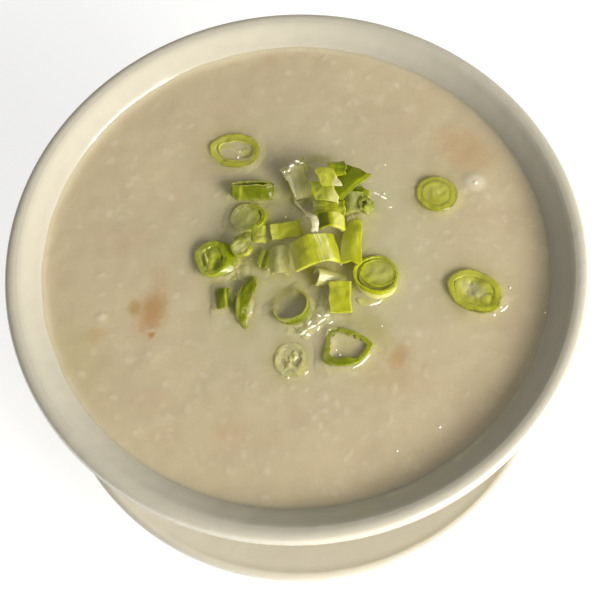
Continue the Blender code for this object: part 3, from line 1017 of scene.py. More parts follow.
def coat(piece, spec):
    """Gives a tube's lining, a ring's foot and its cut face a tone and a milk of their own."""
    side, height = kept(piece, "side"), points(piece)[:, 2] / MM
    parts = {
        "lining": np.clip((0.3 - side) / 0.2, 0, 1),
        "foot": np.clip((-height - 0.8) / 0.6, 0, 1),
        "rim": np.clip(height / 0.35 + 1, 0, 1) * np.clip((0.95 - side) / 0.2, 0, 1),
    }
    for part, within in parts.items():
        for name, number in zip(("tone", "milk"), spec.get(part, ())):
            now = kept(piece, name)
            coated = (now + (number - now) * within).astype(np.float32)
            piece.data.attributes[name].data.foreach_set("value", coated)


def crumple(piece, spec, seed, size, depth):
    """Wrinkles a slice by its own size and depth in millimetres, or the usual ones, and finely over that."""
    size, depth = spec.get("crumple", (size, depth))
    wrinkle(piece, size * MM, depth * MM, seed)
    wrinkle(piece, size * 0.4 * MM, depth * 0.3 * MM, seed + 1)


def set_down(piece, place, turn, lean):
    """Turns and leans a slice, and puts the middle of its outline and its top at a place."""
    angle, heading = lean
    tipping = Vector((-sin(radians(heading)), cos(radians(heading)), 0))
    turning = Matrix.Rotation(radians(angle), 4, tipping) @ Matrix.Rotation(radians(turn), 4, "Z")
    piece.matrix_world = turning
    at = points(piece) @ np.array(turning.to_3x3()).T
    here = (at.min(0) + at.max(0)) / 2
    piece.location = (place[0] - here[0], place[1] - here[1], place[2] - at.max(0)[2])
    select(piece)
    bpy.ops.object.transform_apply(location=True, rotation=True, scale=True)


def where(node, spec):
    """The middle of a solid's outline, at its top, or as far from there as the slice's shift and lift say."""
    low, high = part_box(node)
    aside, lift = spec.get("shift", (0, 0)), spec.get("lift", 0)
    return (low.x + high.x) / 2 + aside[0] * MM, (low.y + high.y) / 2 + aside[1] * MM, high.z + lift * MM


# Each slice is named after its solid, and measured in millimetres and degrees. turn turns it, and lean
# tips it by an angle towards a heading. shift and lift move it from its solid's place. slot gives its kind
# of scallion, and kind gives another where that differs. crumple is the size and the depth of its wrinkles.
# paint is a heading and bands, each a share of the way, a tone and a milk (see paint).

# Rings and tubes. shape is the mouth's two widths, the wall and the height, and slant how far aside the
# foot lies. nested rings have two widths, the wall, two steps aside and the drop. The core, the leaves
# rolled up inside, has two widths, the drop, two steps aside, the whorls and the relief. spots are as in
# paint. lining, foot and rim are the tone and the milk of that part.
RINGS = {
    "slice_oblique": dict(
        shape=(15.4, 11.6, 2.1, 4.2), slant=(-2.8, 0.6), turn=-14, lean=(3, 165), lift=0.3, slot="fresh",
        kind="sunk", uneven=0.02, ragged=0.05, nested=[(11.4, 7.6, 0.7, 0.35, 0, -0.05)],
        core=(10.6, 7, 0.35, 0.1, 0, 0, 0.12),
        paint=(0, [(0, 0.78, 0.15), (0.2, 0.7, 0.05), (0.4, 0.58, 0), (0.8, 0.54, 0), (1, 0.48, 0)]),
        spots=[(-5.2, 1, 2.2, 4, 0, 0.62, 0.1, 0), (0.8, 0.2, 4, 2.6, 0, 0.8, 0.75, 0),
               (4.4, -0.8, 1.8, 2.6, 0, 0.5, 0.35, 0)],
    ),
    "slice_round": dict(
        shape=(11.9, 11.6, 2, 3.6), lean=(1.5, 120), lift=0.05, slot="pale", kind="sunk",
        core=(8.8, 8.4, 0.02, 0.1, 0.3, 1.6, 0.05),
        paint=(0, [(0, 0.5, 0.05), (0.3, 0.5, 0), (0.7, 0.56, 0.05), (1, 0.56, 0.05)]),
        spots=[(0.3, 1, 2.9, 2.7, 0, 0.64, 0.22, 0.05), (-2.2, -3.4, 2.2, 1.6, -30, 0.46, 0, 0)],
    ),
    "slice_oval": dict(
        shape=(16, 12.2, 2, 3.8), turn=-38, lean=(1.5, 120), slot="pale", kind="sunk", ragged=0.14,
        nested=[(4.6, 4.4, 0.8, 4.8, -0.3, 0.1)], core=(12.6, 8.8, 0.2, 0, 0, 0, 0.24),
        paint=(0, [(0, 0.48, 0.05), (0.5, 0.54, 0), (1, 0.56, 0)]),
        spots=[(-0.6, 0.3, 4.2, 2.5, 0, 0.7, 0.72, -0.1), (5.6, -0.3, 1.9, 2.2, 0, 0.26, 0, 0.05),
               (5.4, -0.2, 0.9, 1.2, 30, 0.62, 0.1, -0.2), (-2, 1.2, 0.5, 1.4, 30, 0.5, 0.2, -0.3),
               (0.8, -0.9, 0.9, 0.5, 0, 0.95, 0.9, 0.25)],
    ),
    "slice_layered": dict(
        shape=(13, 11.6, 0.75, 4.4), slant=(1.2, -1.2), turn=-5, lean=(10, 50), shift=(0.5, -0.5),
        lift=0.2, slot="fresh", ragged=0.03, nested=[(9.9, 8.8, 0.5, 0.7, 0.45, 0.12)],
        core=(9.4, 8.3, 0.3, 0.7, 0.45, 0, 0.22), foot=(0.9, 0.5),
        paint=(0, [(0, 0.5, 0), (0.3, 0.46, 0), (1, 0.36, 0)]),
        spots=[(1.1, 0.6, 3.9, 3.3, 20, 0.42, 0.3, 0), (4.4, -2.2, 2.2, 1.2, 35, 0.48, 0.1, 0),
               (-5, -1.2, 0.9, 3.4, 10, 0.5, 0, 0), (-3, -4.2, 3.4, 0.9, -15, 0.4, 0, 0)],
    ),
    "ring_cornered": dict(
        shape=(13.4, 11, 1.75, 3.8), cornered=True, lean=(4, 110), slot="deep", uneven=0.025, ragged=0.28,
        paint=(20, [(0, 0.14, 0), (0.4, 0.24, 0), (0.8, 0.34, 0), (1, 0.32, 0)]),
    ),
    "ring_sunken": dict(
        shape=(8.8, 10.3, 1.9, 3.2), turn=-4, lean=(1, 100), lift=0.35, slot="pale", kind="sunk",
        uneven=0.09, ragged=0.3, core=(6.4, 7.8, 0.12, 0, 0, 0, 0.55),
        paint=(0, [(0, 1, 0.75), (0.5, 0.96, 0.7), (1, 0.9, 0.6)]),
        spots=[(-0.5, 2.1, 1.5, 0.6, 35, 0.5, 0.6, -0.5), (0.3, -1.1, 1.7, 0.6, -25, 0.5, 0.6, -0.5),
               (-1.2, 0.4, 0.5, 1.3, 20, 0.5, 0.5, -0.5), (1, 0.6, 0.5, 0.9, 60, 1, 0.8, 0.3)],
    ),
    # Painted shade and light: partly its own deep green, the wall is painted darker to the right and at its
    # foot, where the key lamp lights it, and the lining is painted paler against the shade inside the tube.
    "tube_upright": dict(
        shape=(10.6, 10.6, 0.6, 5.6), lean=(20, 125), lift=-0.4, slot="fresh", uneven=0.02,
        lining=(0.9, 0.9), foot=(0.06, 0), rim=(0.6, 0.3),
        paint=(0, [(0, 0.6, 0.5), (0.3, 0.4, 0.3), (0.5, 0.16, 0.05), (0.8, 0.06, 0), (1, 0.04, 0)]),
    ),
    "tube_open": dict(
        shape=(10, 8.6, 1.2, 5), slant=(0.8, 0), lean=(8, 155), slot="fresh", uneven=0.04, ragged=0.12,
        core=(8, 7.4, 0.12, -0.6, 0, 0, 0.06),
        paint=(0, [(0, 0.36, 0.5), (0.35, 0.4, 0.35), (0.6, 0.46, 0.05), (0.85, 0.36, 0), (1, 0.26, 0)]),
        spots=[(-1, 0, 3.6, 3.4, 0, 0.38, 0.36, 0)],
    ),
    # Painted shade: partly its own green, the body is painted darker to the right and at its foot, where the
    # key lamp lights it.
    "tube_crumpled": dict(
        shape=(9.2, 10.8, 1.6, 4.6), slant=(5.2, 0), lean=(6, 172), lift=-0.3, slot="fresh", uneven=0.05,
        ragged=0.3, crumple=(1.5, 0.16), core=(6.8, 8.2, 0.3, -0.3, 0, 0, 0.24), foot=(0.16, 0),
        paint=(0, [(0, 0.38, 0.15), (0.25, 0.36, 0.08), (0.5, 0.3, 0), (0.7, 0.24, 0), (1, 0.16, 0)]),
        spots=[(1.2, -2.2, 1.4, 1.4, 0, 0.12, 0, -0.6), (-1.6, 0.2, 0.4, 2, 8, 0.95, 0.6, 0.3),
               (-2.5, 0.2, 0.6, 2.1, 8, 0.2, 0, -0.4), (0.6, 1.6, 1.6, 1.3, 0, 0.4, 0.15, 0)],
    ),
    "tube_small": dict(
        shape=(5.8, 5, 0.7, 1.8), lean=(12, 215), lift=-0.8, slot="fresh", uneven=0.08, ragged=0.15,
        crumple=(1.3, 0.15), core=(4.8, 4, 0.25, -0.2, 0, 0, 0.06), foot=(0.25, 0),
        paint=(0, [(0, 0.3, 0.1), (0.5, 0.34, 0.05), (0.8, 0.66, 0.3), (1, 0.2, 0)]),
        spots=[(-0.5, 0.1, 1.9, 1.7, 0, 0.55, 0.55, 0)],
    ),
    "tube_dark": dict(
        shape=(12.8, 4.2, 0.9, 5.4), turn=-6, lean=(36, 84), shift=(0.2, -0.5), slot="deep", uneven=0.08,
        ragged=0.5, crumple=(2, 0.35), rim=(0.7, 0.2),
        paint=(0, [(0, 0.16, 0), (0.06, 0.36, 0.1), (0.12, 0.2, 0), (0.2, 0.12, 0), (0.24, 0.6, 0.15),
                   (0.28, 0.18, 0), (0.33, 0.06, 0), (0.8, 0.06, 0), (0.88, 0, 0), (1, 0, 0)]),
    ),
    "tube_clear_front": dict(
        shape=(5, 4.8, 0.45, 11.2), lean=(64, 177), shift=(0.9, 0), slot="clear", uneven=0.06,
        crumple=(1.9, 0.25), lining=(0.6, 0.7),
        paint=(None, [(0, 0.7, 0.5), (0.4, 0.5, 0.5), (0.9, 0.5, 0.5), (1, 0.8, 0.6)]),
    ),
    "tube_clear_back": dict(
        shape=(5.4, 4.6, 0.5, 9.6), lean=(66, 97), slot="clear", kind="sheer", uneven=0.1, ragged=0.2,
        crumple=(1.8, 0.4),
        paint=(0, [(0, 0.3, 0.1), (0.16, 0.4, 0.25), (0.24, 0.95, 0.85), (0.5, 0.6, 0.75),
                   (1, 0.4, 0.4)]),
    ),
    "tube_clear_right": dict(
        shape=(5, 4.4, 0.6, 6), lean=(72, 85), slot="clear", uneven=0.06, crumple=(1.9, 0.3),
        paint=(0, [(0, 0.34, 0.2), (0.5, 0.34, 0.35), (1, 0.2, 0.1)]),
    ),
    "curl_dark": dict(
        shape=(3.4, 3.8, 1, 3.2), lean=(30, 200), shift=(-0.4, 0.4), slot="deep", uneven=0.18, ragged=0.4,
        crumple=(1.1, 0.4), rim=(0.6, 0.2), paint=(90, [(0, 0.3, 0.1), (0.5, 0.1, 0), (1, 0, 0)]),
    ),
}

# Strips of leaf. shape is the length, the width, the wall and the bend, and streaks are as in streak.
STRIPS = {
    "strip_left_back": dict(
        shape=(5.4, 3.8, 0.9, 50), turn=-95, lean=(8, 0), slot="fresh", frayed=0.4, crumple=(1.8, 0.28),
        paint=(90, [(0, 0.24, 0), (0.3, 0.44, 0.15), (0.8, 0.46, 0.2), (1, 0.26, 0)]),
    ),
    "strip_left_front": dict(
        shape=(5, 2.6, 0.8, 60), turn=-110, lean=(10, 20), slot="deep", frayed=0.4,
        paint=(90, [(0, 0.35, 0.1), (0.35, 0.45, 0.1), (0.45, 0.02, 0), (0.7, 0.08, 0), (0.82, 0.55, 0.1),
                    (1, 0.4, 0)]),
    ),
    # Painted light: partly its own pale green, its tones are set paler to make up for the shade the slices
    # round it cast.
    "strip_folded": dict(
        shape=(8.4, 4.5, 1.7, 40), turn=4, lean=(6, 270), slot="fresh", frayed=0.2,
        paint=(0, [(0, 0.95, 0.15), (0.05, 0.82, 0), (0.24, 0.86, 0), (0.29, 0.64, 0), (0.7, 0.7, 0),
                   (0.9, 0.62, 0), (1, 0.36, 0)]),
    ),
    "leaf_clear": dict(
        shape=(8.6, 4.8, 0.8, 90), turn=-93, lean=(6, 90), slot="clear", kind="sheer", frayed=0.3,
        crumple=(2, 0.3),
        paint=(90, [(0, 0.3, 0.3), (0.3, 0.4, 0.4), (0.5, 0.85, 0.85), (0.65, 0.5, 0.5), (1, 0.3, 0.3)]),
    ),
    "strip_front": dict(
        shape=(8.8, 6, 0.9, 12), turn=-93, lean=(4, 270), slot="fresh", frayed=0.25,
        paint=(90, [(0, 0.72, 0.2), (0.08, 0.62, 0.05), (0.9, 0.56, 0), (1, 0.66, 0.1)]),
    ),
    "strip_back": dict(
        shape=(5.2, 5, 0.9, 50), turn=2, lean=(8, 100), shift=(-0.5, -0.6), lift=3.6, slot="fresh",
        frayed=0.4, crumple=(1.6, 0.25), paint=(0, [(0, 0.5, 0.05), (0.4, 0.34, 0), (1, 0.2, 0)]),
    ),
    "leaf_dark": dict(
        shape=(11.8, 6.8, 0.8, 30), skew=-0.5, turn=40, lean=(4, 300), shift=(-0.9, -0.7), slot="deep",
        frayed=0.25, crumple=(2.6, 0.15),
        paint=(-90, [(0, 0.04, 0), (0.6, 0.06, 0), (0.78, 0.1, 0), (0.83, 0.36, 0), (0.93, 0.3, 0),
                     (1, 0.16, 0)]),
    ),
    "strip_streaked": dict(
        shape=(8.6, 4.8, 0.9, 60), turn=-6, lean=(4, 260), slot="fresh", frayed=0.4, crumple=(1.7, 0.25),
        streaks=(0.1, 0.9, 0.2),
        paint=(0, [(0, 0.3, 0.3), (0.2, 0.4, 0.05), (0.45, 0.54, 0), (0.55, 0.45, 0), (0.75, 0.56, 0.05),
                   (1, 0.46, 0)]),
    ),
    # Painted light: partly its own yellow-green, its tones are set paler to make up for the shade the slices
    # round it cast.
    "leaf_curved": dict(
        shape=(13.6, 6, 0.8, 60), taper=(0.45, 0.9, 1), bow=(0.9, 0.1, 0), turn=-98, lean=(10, 200),
        slot="fresh", frayed=0.4,
        paint=(90, [(0, 0.96, 0.3), (0.1, 0.9, 0.1), (0.18, 0.7, 0), (0.5, 0.66, 0), (0.8, 0.6, 0),
                    (1, 0.5, 0)]),
    ),
    "strip_cupped": dict(
        shape=(5, 7, 1.1, 110), turn=-93, lean=(8, 20), slot="pale", frayed=0.2, crumple=(1.6, 0.2),
        paint=(90, [(0, 0.02, 0), (0.28, 0.06, 0), (0.33, 0.45, 0), (0.46, 0.6, 0), (0.52, 0.86, 0.2),
                    (0.9, 0.8, 0.15), (1, 0.5, 0.1)]),
    ),
    "leaf_pale_front": dict(
        shape=(6.8, 5, 0.8, 44), skew=-0.55, turn=-14, lean=(10, 250), shift=(-0.3, 0.2), slot="pale",
        frayed=0.35, crumple=(1.7, 0.22),
        paint=(-20, [(0, 0.36, 0.05), (0.5, 0.42, 0.1), (0.66, 0.44, 0.1), (0.8, 0.7, 0.45),
                     (1, 0.8, 0.7)]),
    ),
    "leaf_pale_back": dict(
        shape=(5.8, 5.2, 0.8, 40), skew=-0.45, turn=-8, lean=(8, 240), shift=(-0.2, 0.1), slot="pale",
        frayed=0.3, crumple=(1.7, 0.2),
        paint=(-24, [(0, 0.5, 0.1), (0.5, 0.56, 0.12), (0.68, 0.56, 0.1), (0.76, 1, 0.85), (1, 1, 1)]),
    ),
    "shred_curled": dict(
        shape=(6.2, 1.6, 0.6, 70), curl=90, bow=(-0.7, 0.4, 0.5, -0.6), turn=-70, lean=(0, 0),
        slot="clear", frayed=0.5, crumple=(1.4, 0.25), paint=(90, [(0, 0.9, 0.9), (1, 1, 1)]),
    ),
    # Painted light: its left end is partly its own olive and partly set paler to make up for the shade that
    # falls there.
    "band_ribbed": dict(
        shape=(8.8, 12.4, 0.9, 86), turn=-80, lean=(4, 90), slot="fresh", frayed=0.3, crumple=(2.4, 0.22),
        streaks=(0.5, 0.93, 0.85),
        paint=(90, [(0, 0.55, 0.4), (0.12, 0.64, 0.05), (0.3, 0.68, 0), (0.5, 0.6, 0), (0.64, 0.7, 0.1),
                    (0.71, 0.8, 0.2), (0.75, 0.68, 0.1), (0.8, 0.8, 0.2), (0.86, 0.62, 0), (1, 0.5, 0)]),
    ),
    "sliver_folded": dict(
        shape=(15.2, 4.2, 0.9, 80), taper=(0.4, 0.7, 0.85, 0.95, 0.55, 0.08),
        bow=(0, -0.5, -1.3, -2.1, -1.4, 0), turn=-100, lean=(0, 0), shift=(0.3, 0), lift=1.1, slot="deep",
        crumple=(1.5, 0.25),
        paint=(90, [(0, 0, 0), (0.16, 0.04, 0), (0.24, 0.6, 0.2), (0.34, 0.55, 0.1), (0.42, 0.16, 0),
                    (0.7, 0.06, 0), (1, 0, 0)]),
    ),
    "strip_short": dict(
        shape=(5.6, 3.6, 1.4, 50), turn=-93, lean=(4, 180), lift=0.3, slot="deep", frayed=0.25,
        paint=(90, [(0, 0.06, 0), (0.66, 0.12, 0), (0.72, 0.55, 0.1), (0.82, 0.42, 0), (0.9, 0.06, 0),
                    (1, 0.04, 0)]),
    ),
}

# Scraps too thin for a solid of their own: as strips, with a place and the rise of their top over the
# congee.
SCRAPS = {
    "membrane_front": dict(
        place=(5.6, -19), rise=0.95, shape=(12.5, 9.4, 0.5, 46), turn=38, lean=(5, 300), slot="clear",
        kind="sheer", frayed=1, crumple=(1.5, 0.4), paint=(-90, [(0, 1, 0.9), (0.6, 1, 0.95), (1, 1, 1)]),
    ),
    "membrane_left": dict(
        place=(-12.6, -1.4), rise=0.5, shape=(9.6, 6.8, 0.5, 50), turn=30, lean=(4, 290), slot="clear",
        kind="sheer", frayed=0.8, crumple=(1.8, 0.35),
        paint=(-90, [(0, 0.6, 0.75), (0.7, 0.7, 0.8), (1, 0.95, 0.95)]),
    ),
    "patch_pale": dict(
        place=(-20.6, -4.2), rise=0.35, shape=(7.4, 2.8, 0.5, 40), turn=-14, lean=(4, 200), slot="clear",
        frayed=0.6, crumple=(1.8, 0.25), paint=(0, [(0, 1, 0.9), (0.3, 1, 0.5), (1, 0.85, 0.5)]),
    ),
    "shred_left": dict(
        place=(-18.5, -10.5), rise=0.5, shape=(4.8, 1.4, 0.5, 60), turn=-93, lean=(0, 0), slot="clear",
        crumple=(1.2, 0.2), paint=(0, [(0, 0.9, 0.9), (1, 0.8, 0.7)]),
    ),
    "scrap_green": dict(
        place=(-16.6, -11.3), rise=0.22, shape=(4.6, 2.6, 0.6, 40), turn=-80, lean=(4, 180), slot="fresh",
        crumple=(2, 0.12), paint=(0, [(0, 0.5, 0.2), (1, 0.3, 0)]),
    ),
    "scrap_deep": dict(
        place=(-12.8, 8.6), rise=0.9, shape=(6.4, 3, 0.6, 50), turn=24, lean=(4, 180), slot="deep",
        frayed=0.6, crumple=(1.6, 0.3), paint=(90, [(0, 0.1, 0), (0.5, 0.02, 0), (1, 0.2, 0)]),
    ),
    "thread": dict(
        place=(2.7, 15.4), rise=0.9, shape=(5.2, 0.55, 0.35, 60), turn=-54, lean=(0, 0), slot="clear",
        crumple=(1.6, 0.12), paint=(0, [(0, 1, 1), (1, 1, 1)]),
    ),
    "leaf_shadow": dict(
        place=(18.6, 17.6), rise=1.6, shape=(7, 4, 0.7, 50), turn=30, lean=(6, 300), slot="deep",
        frayed=0.5, crumple=(1.8, 0.25), paint=(0, [(0, 0.06, 0), (0.6, 0.12, 0), (1, 0.3, 0)]),
    ),
    "tail": dict(
        place=(0.4, 21.6), rise=3.8, shape=(6.4, 1.3, 0.4, 60), taper=(1, 0.6, 0.15), turn=-76,
        lean=(12, 270), slot="clear", crumple=(1.6, 0.12), paint=(0, [(0, 0.8, 0.9), (1, 1, 1)]),
    ),
    "crumple_back": dict(
        place=(1.8, 26.9), rise=4.3, shape=(7.6, 4.2, 0.5, 90), turn=26, lean=(4, 280), slot="clear",
        kind="sheer", crumple=(0.9, 0.5),
        paint=(0, [(0, 1, 1), (0.6, 0.95, 0.95), (0.8, 0.6, 0.5), (1, 0.4, 0.1)]),
    ),
    "crescent": dict(
        place=(22.2, -12), rise=0.35, shape=(13, 3, 0.5, 40), bow=(1.9, 0.5, -0.4, 0.3, 2.2), turn=24,
        lean=(3, 300), slot="clear", crumple=(1.8, 0.14),
        paint=(0, [(0, 0.95, 0.2), (0.5, 1, 0.15), (1, 1, 0.3)]),
    ),
    "speck_pale": dict(
        place=(16.4, 10.8), rise=0.9, shape=(2.2, 2, 0.6, 70), turn=20, lean=(6, 250), slot="clear",
        crumple=(1, 0.2), paint=(0, [(0, 0.6, 0.7), (1, 0.7, 0.9)]),
    ),
}

# Bubbles on the congee, glowing faintly as painted highlights: x, y and radius in millimetres.
BUBBLES = [
    (34.2, -51.5, 0.341), (52.9, 19.4, 0.465), (57.9, -13.8, 0.31), (52.5, -21.4, 0.341),
    (54.6, -19.4, 0.279), (10, -29.6, 0.31), (9.1, -28.2, 0.217), (11.1, -31, 0.248),
    (-14.4, 33.7, 0.372), (-13.7, 35.6, 0.248), (-4.2, -34.9, 0.341), (0.4, -33.8, 0.217),
    (-7.7, -2.9, 0.248), (-1.7, 13.2, 0.217), (27.9, 13.9, 0.248), (27.8, 27.7, 0.217),
    (26.6, 18.4, 0.31), (22, -22.1, 0.217), (-13.2, -15.3, 0.279), (22.5, -57.1, 0.248),
    (12.6, -3, 0.217), (66.2, -22, 0.217),
]

# Beads of liquid held along the edges of slices, whitish and glowing as painted highlights: x, y, length,
# turn, bow and width in millimetres and degrees, and how far over the congee those lie that are held on a
# membrane.
BEAD_TAPER = (0.15, 0.85, 1, 0.8, 0.15)
GLINT_BEADS = [
    (15.9, -31.5, 7, 39, -0.5, 0.6), (21.4, -15, 4.6, 24, -0.25, 0.55), (25.3, -12.8, 2.2, 50, -0.1, 0.6),
    (55.3, -19.8, 3.6, 39, -0.15, 0.6), (43.9, 11.9, 3.6, 16, -0.2, 0.6),
    (0.6, -33.9, 2.4, 42, -0.1, 0.5), (26.3, 17.1, 2.4, -35, 0.1, 0.6), (24.4, 18.6, 2.6, -32, 0, 0.4),
    (27.9, 13.9, 1.4, 0, 0, 0.6), (0.6, -22.6, 2.6, 30, -0.1, 0.6, 0.9),
    (3.3, -21.3, 2.4, 25, 0.1, 0.6, 1.2), (5.9, -19.9, 2.6, 35, 0, 0.5, 1.3),
    (1.9, -23.3, 1.2, -20, 0, 0.7, 0.9), (4.9, -21.9, 1.6, 60, 0, 0.5, 1.2),
    (7.2, -18.4, 1.4, 10, 0, 0.4, 1.4), (2.6, -20.2, 1.5, 50, 0, 0.5, 1.3),
    (5.2, -18.3, 1.2, -30, 0, 0.5, 1.5), (8.3, -20.6, 1.3, 20, 0, 0.4, 1.2),
    (1, 26.6, 1.6, 30, 0, 0.6, 5.2), (2.6, 27.6, 1.4, -20, 0, 0.6, 5.5), (0.2, 25.4, 1.2, 60, 0, 0.5, 5),
    (3.8, 27, 1, 10, 0, 0.5, 5.4),
]

# Each kind of scallion: how pale its flesh is, how much it hides and how veiled its edge is.
KINDS = {
    "deep": (0.06, 1, 0),
    "fresh": (0.1, 1, 0),
    "sunk": (0.25, 0.94, 0.75),
    "pale": (0.3, 1, 0),
    "clear": (0.3, 0.84, 0),
    "sheer": (0.3, 0.52, 0),
}
FIRST_SEEDS = {"rings": 1, "strips": 31, "scraps": 61}  # each piece has a seed of its own
finishes = {}  # what scallion_material has made


def scallion_material(settings, kind):
    """The finish of one kind of scallion, made once."""
    if kind not in finishes:
        finishes[kind] = scallion_finish(f"scallion_{kind}", settings, *KINDS[kind])
    return finishes[kind]


def lay(piece, spec, place, settings, *nodes):
    """Lays a slice in its place and finishes it."""
    set_down(piece, place, spec.get("turn", 0), spec["lean"])
    material = scallion_material(settings, spec.get("kind", spec["slot"]))
    keep(piece, material, "scallion_" + spec["slot"], *nodes)


def cut_ring(name, spec, seed):
    """Cuts one ring or tube with what lies inside it, and paints it."""
    wide, deep, wall, tall = (size * MM for size in spec["shape"])
    options = {key: spec[key] for key in ("slant", "cornered", "uneven", "ragged") if key in spec}
    parts = [ring(name, (wide, deep), wall, tall, seed=seed, **options)]
    for i, (x, y, thick, *aside, drop) in enumerate(spec.get("nested", [])):
        options = {"uneven": 0.06, "drop": drop, "place": aside, "seed": seed + 20 * i + 9}
        parts.append(ring(f"{name}_{i}", (x * MM, y * MM), thick * MM, tall * 0.6, **options))
    if "core" in spec:
        x, y, drop, *aside, whorls, relief = spec["core"]
        parts.append(core(name + "_core", (x * MM, y * MM), drop, aside, whorls, relief, seed))
    piece = joined(name + "_cut", parts)
    paint(piece, *spec["paint"], spec.get("spots", ()), seed=seed)
    coat(piece, spec)
    return piece


class CONGEE_OT_rings(Operator):
    """Cuts the scallion rings and tubes, fills those that are full, and floats each at its solid's place"""

    bl_idname = "congee.rings"
    bl_label = "Scallion Rings"

    def execute(self, context):
        for seed, (node, spec) in enumerate(RINGS.items(), FIRST_SEEDS["rings"]):
            piece = cut_ring(node, spec, seed)
            warp(piece, 6 * MM, 0.4 * MM, seed)
            crumple(piece, spec, seed, 1.9, 0.14)
            lay(piece, spec, where(node, spec), context.scene.scallion, node)
        return {"FINISHED"}


def cut_strip(name, spec, seed):
    """Cuts one strip or scrap, paints it and wrinkles it."""
    length, width, wall = (size * MM for size in spec["shape"][:3])
    options = {key: spec[key] for key in ("taper", "skew", "curl", "bow", "frayed") if key in spec}
    piece = strip(name, length, width, wall, spec["shape"][3], seed=seed, **options)
    paint(piece, *spec["paint"], seed=seed)
    if "streaks" in spec:
        streak(piece, *spec["streaks"])
    crumple(piece, spec, seed, 2.2, 0.18)
    return piece


class CONGEE_OT_strips(Operator):
    """Cuts the strips of leaf and lays each where its solid lies"""

    bl_idname = "congee.strips"
    bl_label = "Scallion Strips"

    def execute(self, context):
        for seed, (node, spec) in enumerate(STRIPS.items(), FIRST_SEEDS["strips"]):
            piece = cut_strip(node + "_cut", spec, seed)
            warp(piece, 5 * MM, 0.6 * MM, seed)
            lay(piece, spec, where(node, spec), context.scene.scallion, node)
        return {"FINISHED"}


class CONGEE_OT_scraps(Operator):
    """Crumples the wet membranes and shreds that lie between the slices"""

    bl_idname = "congee.scraps"
    bl_label = "Membranes and Shreds"

    def execute(self, context):
        for seed, (name, spec) in enumerate(SCRAPS.items(), FIRST_SEEDS["scraps"]):
            x, y = spec["place"]
            place = x * MM, y * MM, LEVEL + spec["rise"] * MM
            lay(cut_strip(name, spec, seed), spec, place, context.scene.scallion)
        return {"FINISHED"}


class CONGEE_OT_bubbles(Operator):
    """Blows small flattened bubbles and runs thin beads of liquid along slice edges, glowing as painted
    highlights
    """

    bl_idname = "congee.bubbles"
    bl_label = "Bubbles"

    def execute(self, context):
        surface = surface_of(bpy.data.objects["congee_top"].data)

        def level(x, y):
            """The height of the congee under a place in millimetres."""
            return surface.ray_cast(Vector((x * MM, y * MM, LEVEL + 5 * MM)), Vector((0, 0, -1)))[0].z

        parts = []
        for number, (x, y, radius) in enumerate(BUBBLES):
            part = start("uv_sphere", f"bubble_{number}", segments=20, ring_count=12, radius=radius * MM)
            at = points(part)
            at[:, :2] *= 1 + 0.5 * np.clip(-at[:, 2:] / (radius * MM), 0, 1)
            at[:, 2] *= 0.6
            move(part, at + [x * MM, y * MM, level(x, y) + 0.15 * radius * MM])
            parts.append(part)
        for seed, (x, y, length, turn, bow, width, *above) in enumerate(GLINT_BEADS):
            options = {"taper": BEAD_TAPER, "bow": (0, bow, 0), "seed": seed}
            bead = strip(f"bead_{seed}", length * MM, width * MM, 0.12 * MM, 130, **options)
            warp(bead, 1.8 * MM, 0.12 * MM, seed)
            set_down(bead, (x * MM, y * MM, level(x, y) + (0.3 * width + sum(above)) * MM), turn, (0, 0))
            parts.append(bead)
        finish, settings = Finish("bubble"), context.scene.congee
        # Painted highlights: noise mixes the bubbles' colour with a whitish glint colour, and the finish
        # glows faintly in it.
        cloud = finish.step(finish.noise(0.6 * MM, 2), 0.4, 0.56)
        film = finish.mix(cloud, tuple(settings.bubble), tuple(settings.painted_glint))
        finish.set(Base_Color=film, Roughness=0.12, Coat_Weight=1.0, Coat_Roughness=0.03, Alpha=0.9)
        finish.set(Emission_Color=film, Emission_Strength=0.42)
        keep(joined("bubbles", parts), finish.material, "congee")
        return {"FINISHED"}


# ---------------------------------------------------------------- stage

FLOOR_RADIUS = 2
LAMP_DISTANCE = 1.2
CAMERA_AIM = Vector((0.48, -14.51, 76.5)) * MM  # what the camera looks at


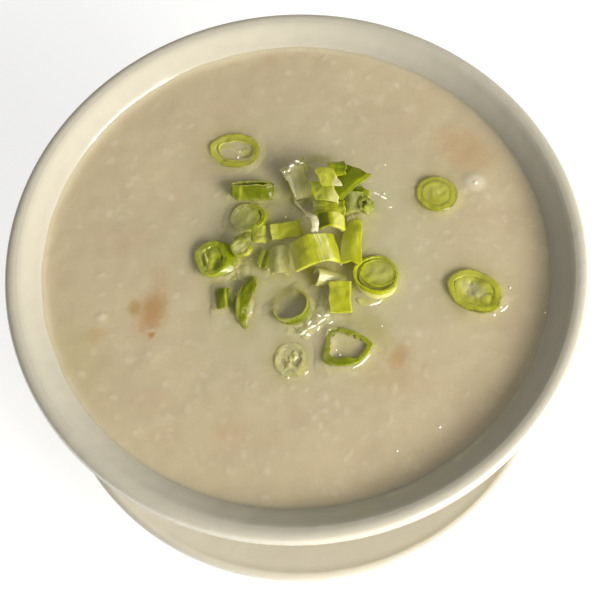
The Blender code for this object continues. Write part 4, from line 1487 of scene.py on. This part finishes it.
class CONGEE_OT_stage(Operator):
    """Lays a plain pale floor, lights it softly and sets up the camera"""

    bl_idname = "congee.stage"
    bl_label = "Stage"

    def execute(self, context):
        settings = context.scene.stage
        floor = start("circle", "floor", vertices=96, radius=FLOOR_RADIUS, fill_type="NGON")
        edit()
        bpy.ops.mesh.inset(thickness=0.4)
        finish_edit()
        finish, shade = Finish("floor"), tuple(settings.floor)
        base = finish.mix(finish.noise(0.3, 2), darker(shade, 0.52), darker(shade, 0.56))
        finish.set(Base_Color=base, Roughness=0.8, Emission_Color=(1.0, 1.0, 0.995), Emission_Strength=0.72)
        floor.data.materials.append(finish.material)

        world = bpy.data.worlds.new("studio")
        world.use_nodes = True
        sky = world.node_tree.nodes["Background"].inputs
        sky["Color"].default_value = (1.0, 0.975, 0.93, 1)
        sky["Strength"].default_value = settings.fill
        context.scene.world = world

        aim = Vector((0, 0, RIM_HEIGHT))
        turn = settings.key_azimuth
        lights = [
            ("key", settings.key, (1.2, 0.5), settings.key_height),
            ("key_core", settings.core, (0.2, 0.2), settings.key_height - radians(2)),
        ]
        for name, power, size, height in lights:
            light = bpy.data.lights.new(name, "AREA")
            light.shape = "ELLIPSE"
            light.size, light.size_y = size
            light.energy = power
            light.color = (1.0, 0.985, 0.95)
            lamp = bpy.data.objects.new(name, light)
            away = Vector((cos(height) * cos(turn), cos(height) * sin(turn), sin(height)))
            lamp.location = aim + away * LAMP_DISTANCE
            lamp.rotation_euler = away.to_track_quat("Z", "Y").to_euler()
            context.scene.collection.objects.link(lamp)

        camera = bpy.data.cameras.new("camera")
        camera.lens = settings.lens
        camera.sensor_width = 36
        viewer = bpy.data.objects.new("camera", camera)
        raised, roll = settings.camera_height, settings.camera_roll
        back = Vector((0, -cos(raised), sin(raised)))
        up = Vector((0, sin(raised), cos(raised)))
        right = Vector((1, 0, 0))
        across = right * cos(roll) + up * sin(roll)
        upward = up * cos(roll) - right * sin(roll)
        pose = Matrix((across, upward, back)).transposed().to_4x4()
        pose.translation = CAMERA_AIM + back * settings.camera_away
        viewer.matrix_world = pose
        context.scene.collection.objects.link(viewer)
        context.scene.camera = viewer
        context.scene.view_settings.view_transform = "Standard"
        return {"FINISHED"}


class CONGEE_PT_panel(Panel):
    """Makes the pieces of the congee bowl, one button each"""

    bl_idname = "CONGEE_PT_panel"
    bl_label = "Congee Bowl"
    bl_space_type = "VIEW_3D"
    bl_region_type = "UI"
    bl_category = "Congee Bowl"

    def draw(self, context):
        for title, name, makers in GROUPS:
            box = self.layout.box()
            box.label(text=title)
            settings = getattr(context.scene, name)
            for key in settings.__annotations__:
                box.prop(settings, key)
            for maker in makers:
                box.operator(maker.bl_idname)


GROUPS = [
    ("Crockery", "crockery", [CONGEE_OT_saucer, CONGEE_OT_bowl]),
    ("Congee", "congee", [CONGEE_OT_congee, CONGEE_OT_bubbles]),
    ("Scallion", "scallion", [CONGEE_OT_rings, CONGEE_OT_strips, CONGEE_OT_scraps]),
    ("Stage", "stage", [CONGEE_OT_stage]),
]
SETTINGS = {
    "crockery": CrockerySettings,
    "congee": CongeeSettings,
    "scallion": ScallionSettings,
    "stage": StageSettings,
}
CLASSES = [*SETTINGS.values(), *(maker for group in GROUPS for maker in group[2]), CONGEE_PT_panel]


def register():
    for cls in CLASSES:
        bpy.utils.register_class(cls)
    for name, settings in SETTINGS.items():
        setattr(bpy.types.Scene, name, PointerProperty(type=settings))


def unregister():
    for name in SETTINGS:
        delattr(bpy.types.Scene, name)
    for cls in reversed(CLASSES):
        bpy.utils.unregister_class(cls)


def main():
    register()
    for _, _, makers in GROUPS:
        for maker in makers:
            family, action = maker.bl_idname.split(".")
            getattr(getattr(bpy.ops, family), action)()


if __name__ == "__main__":
    main()
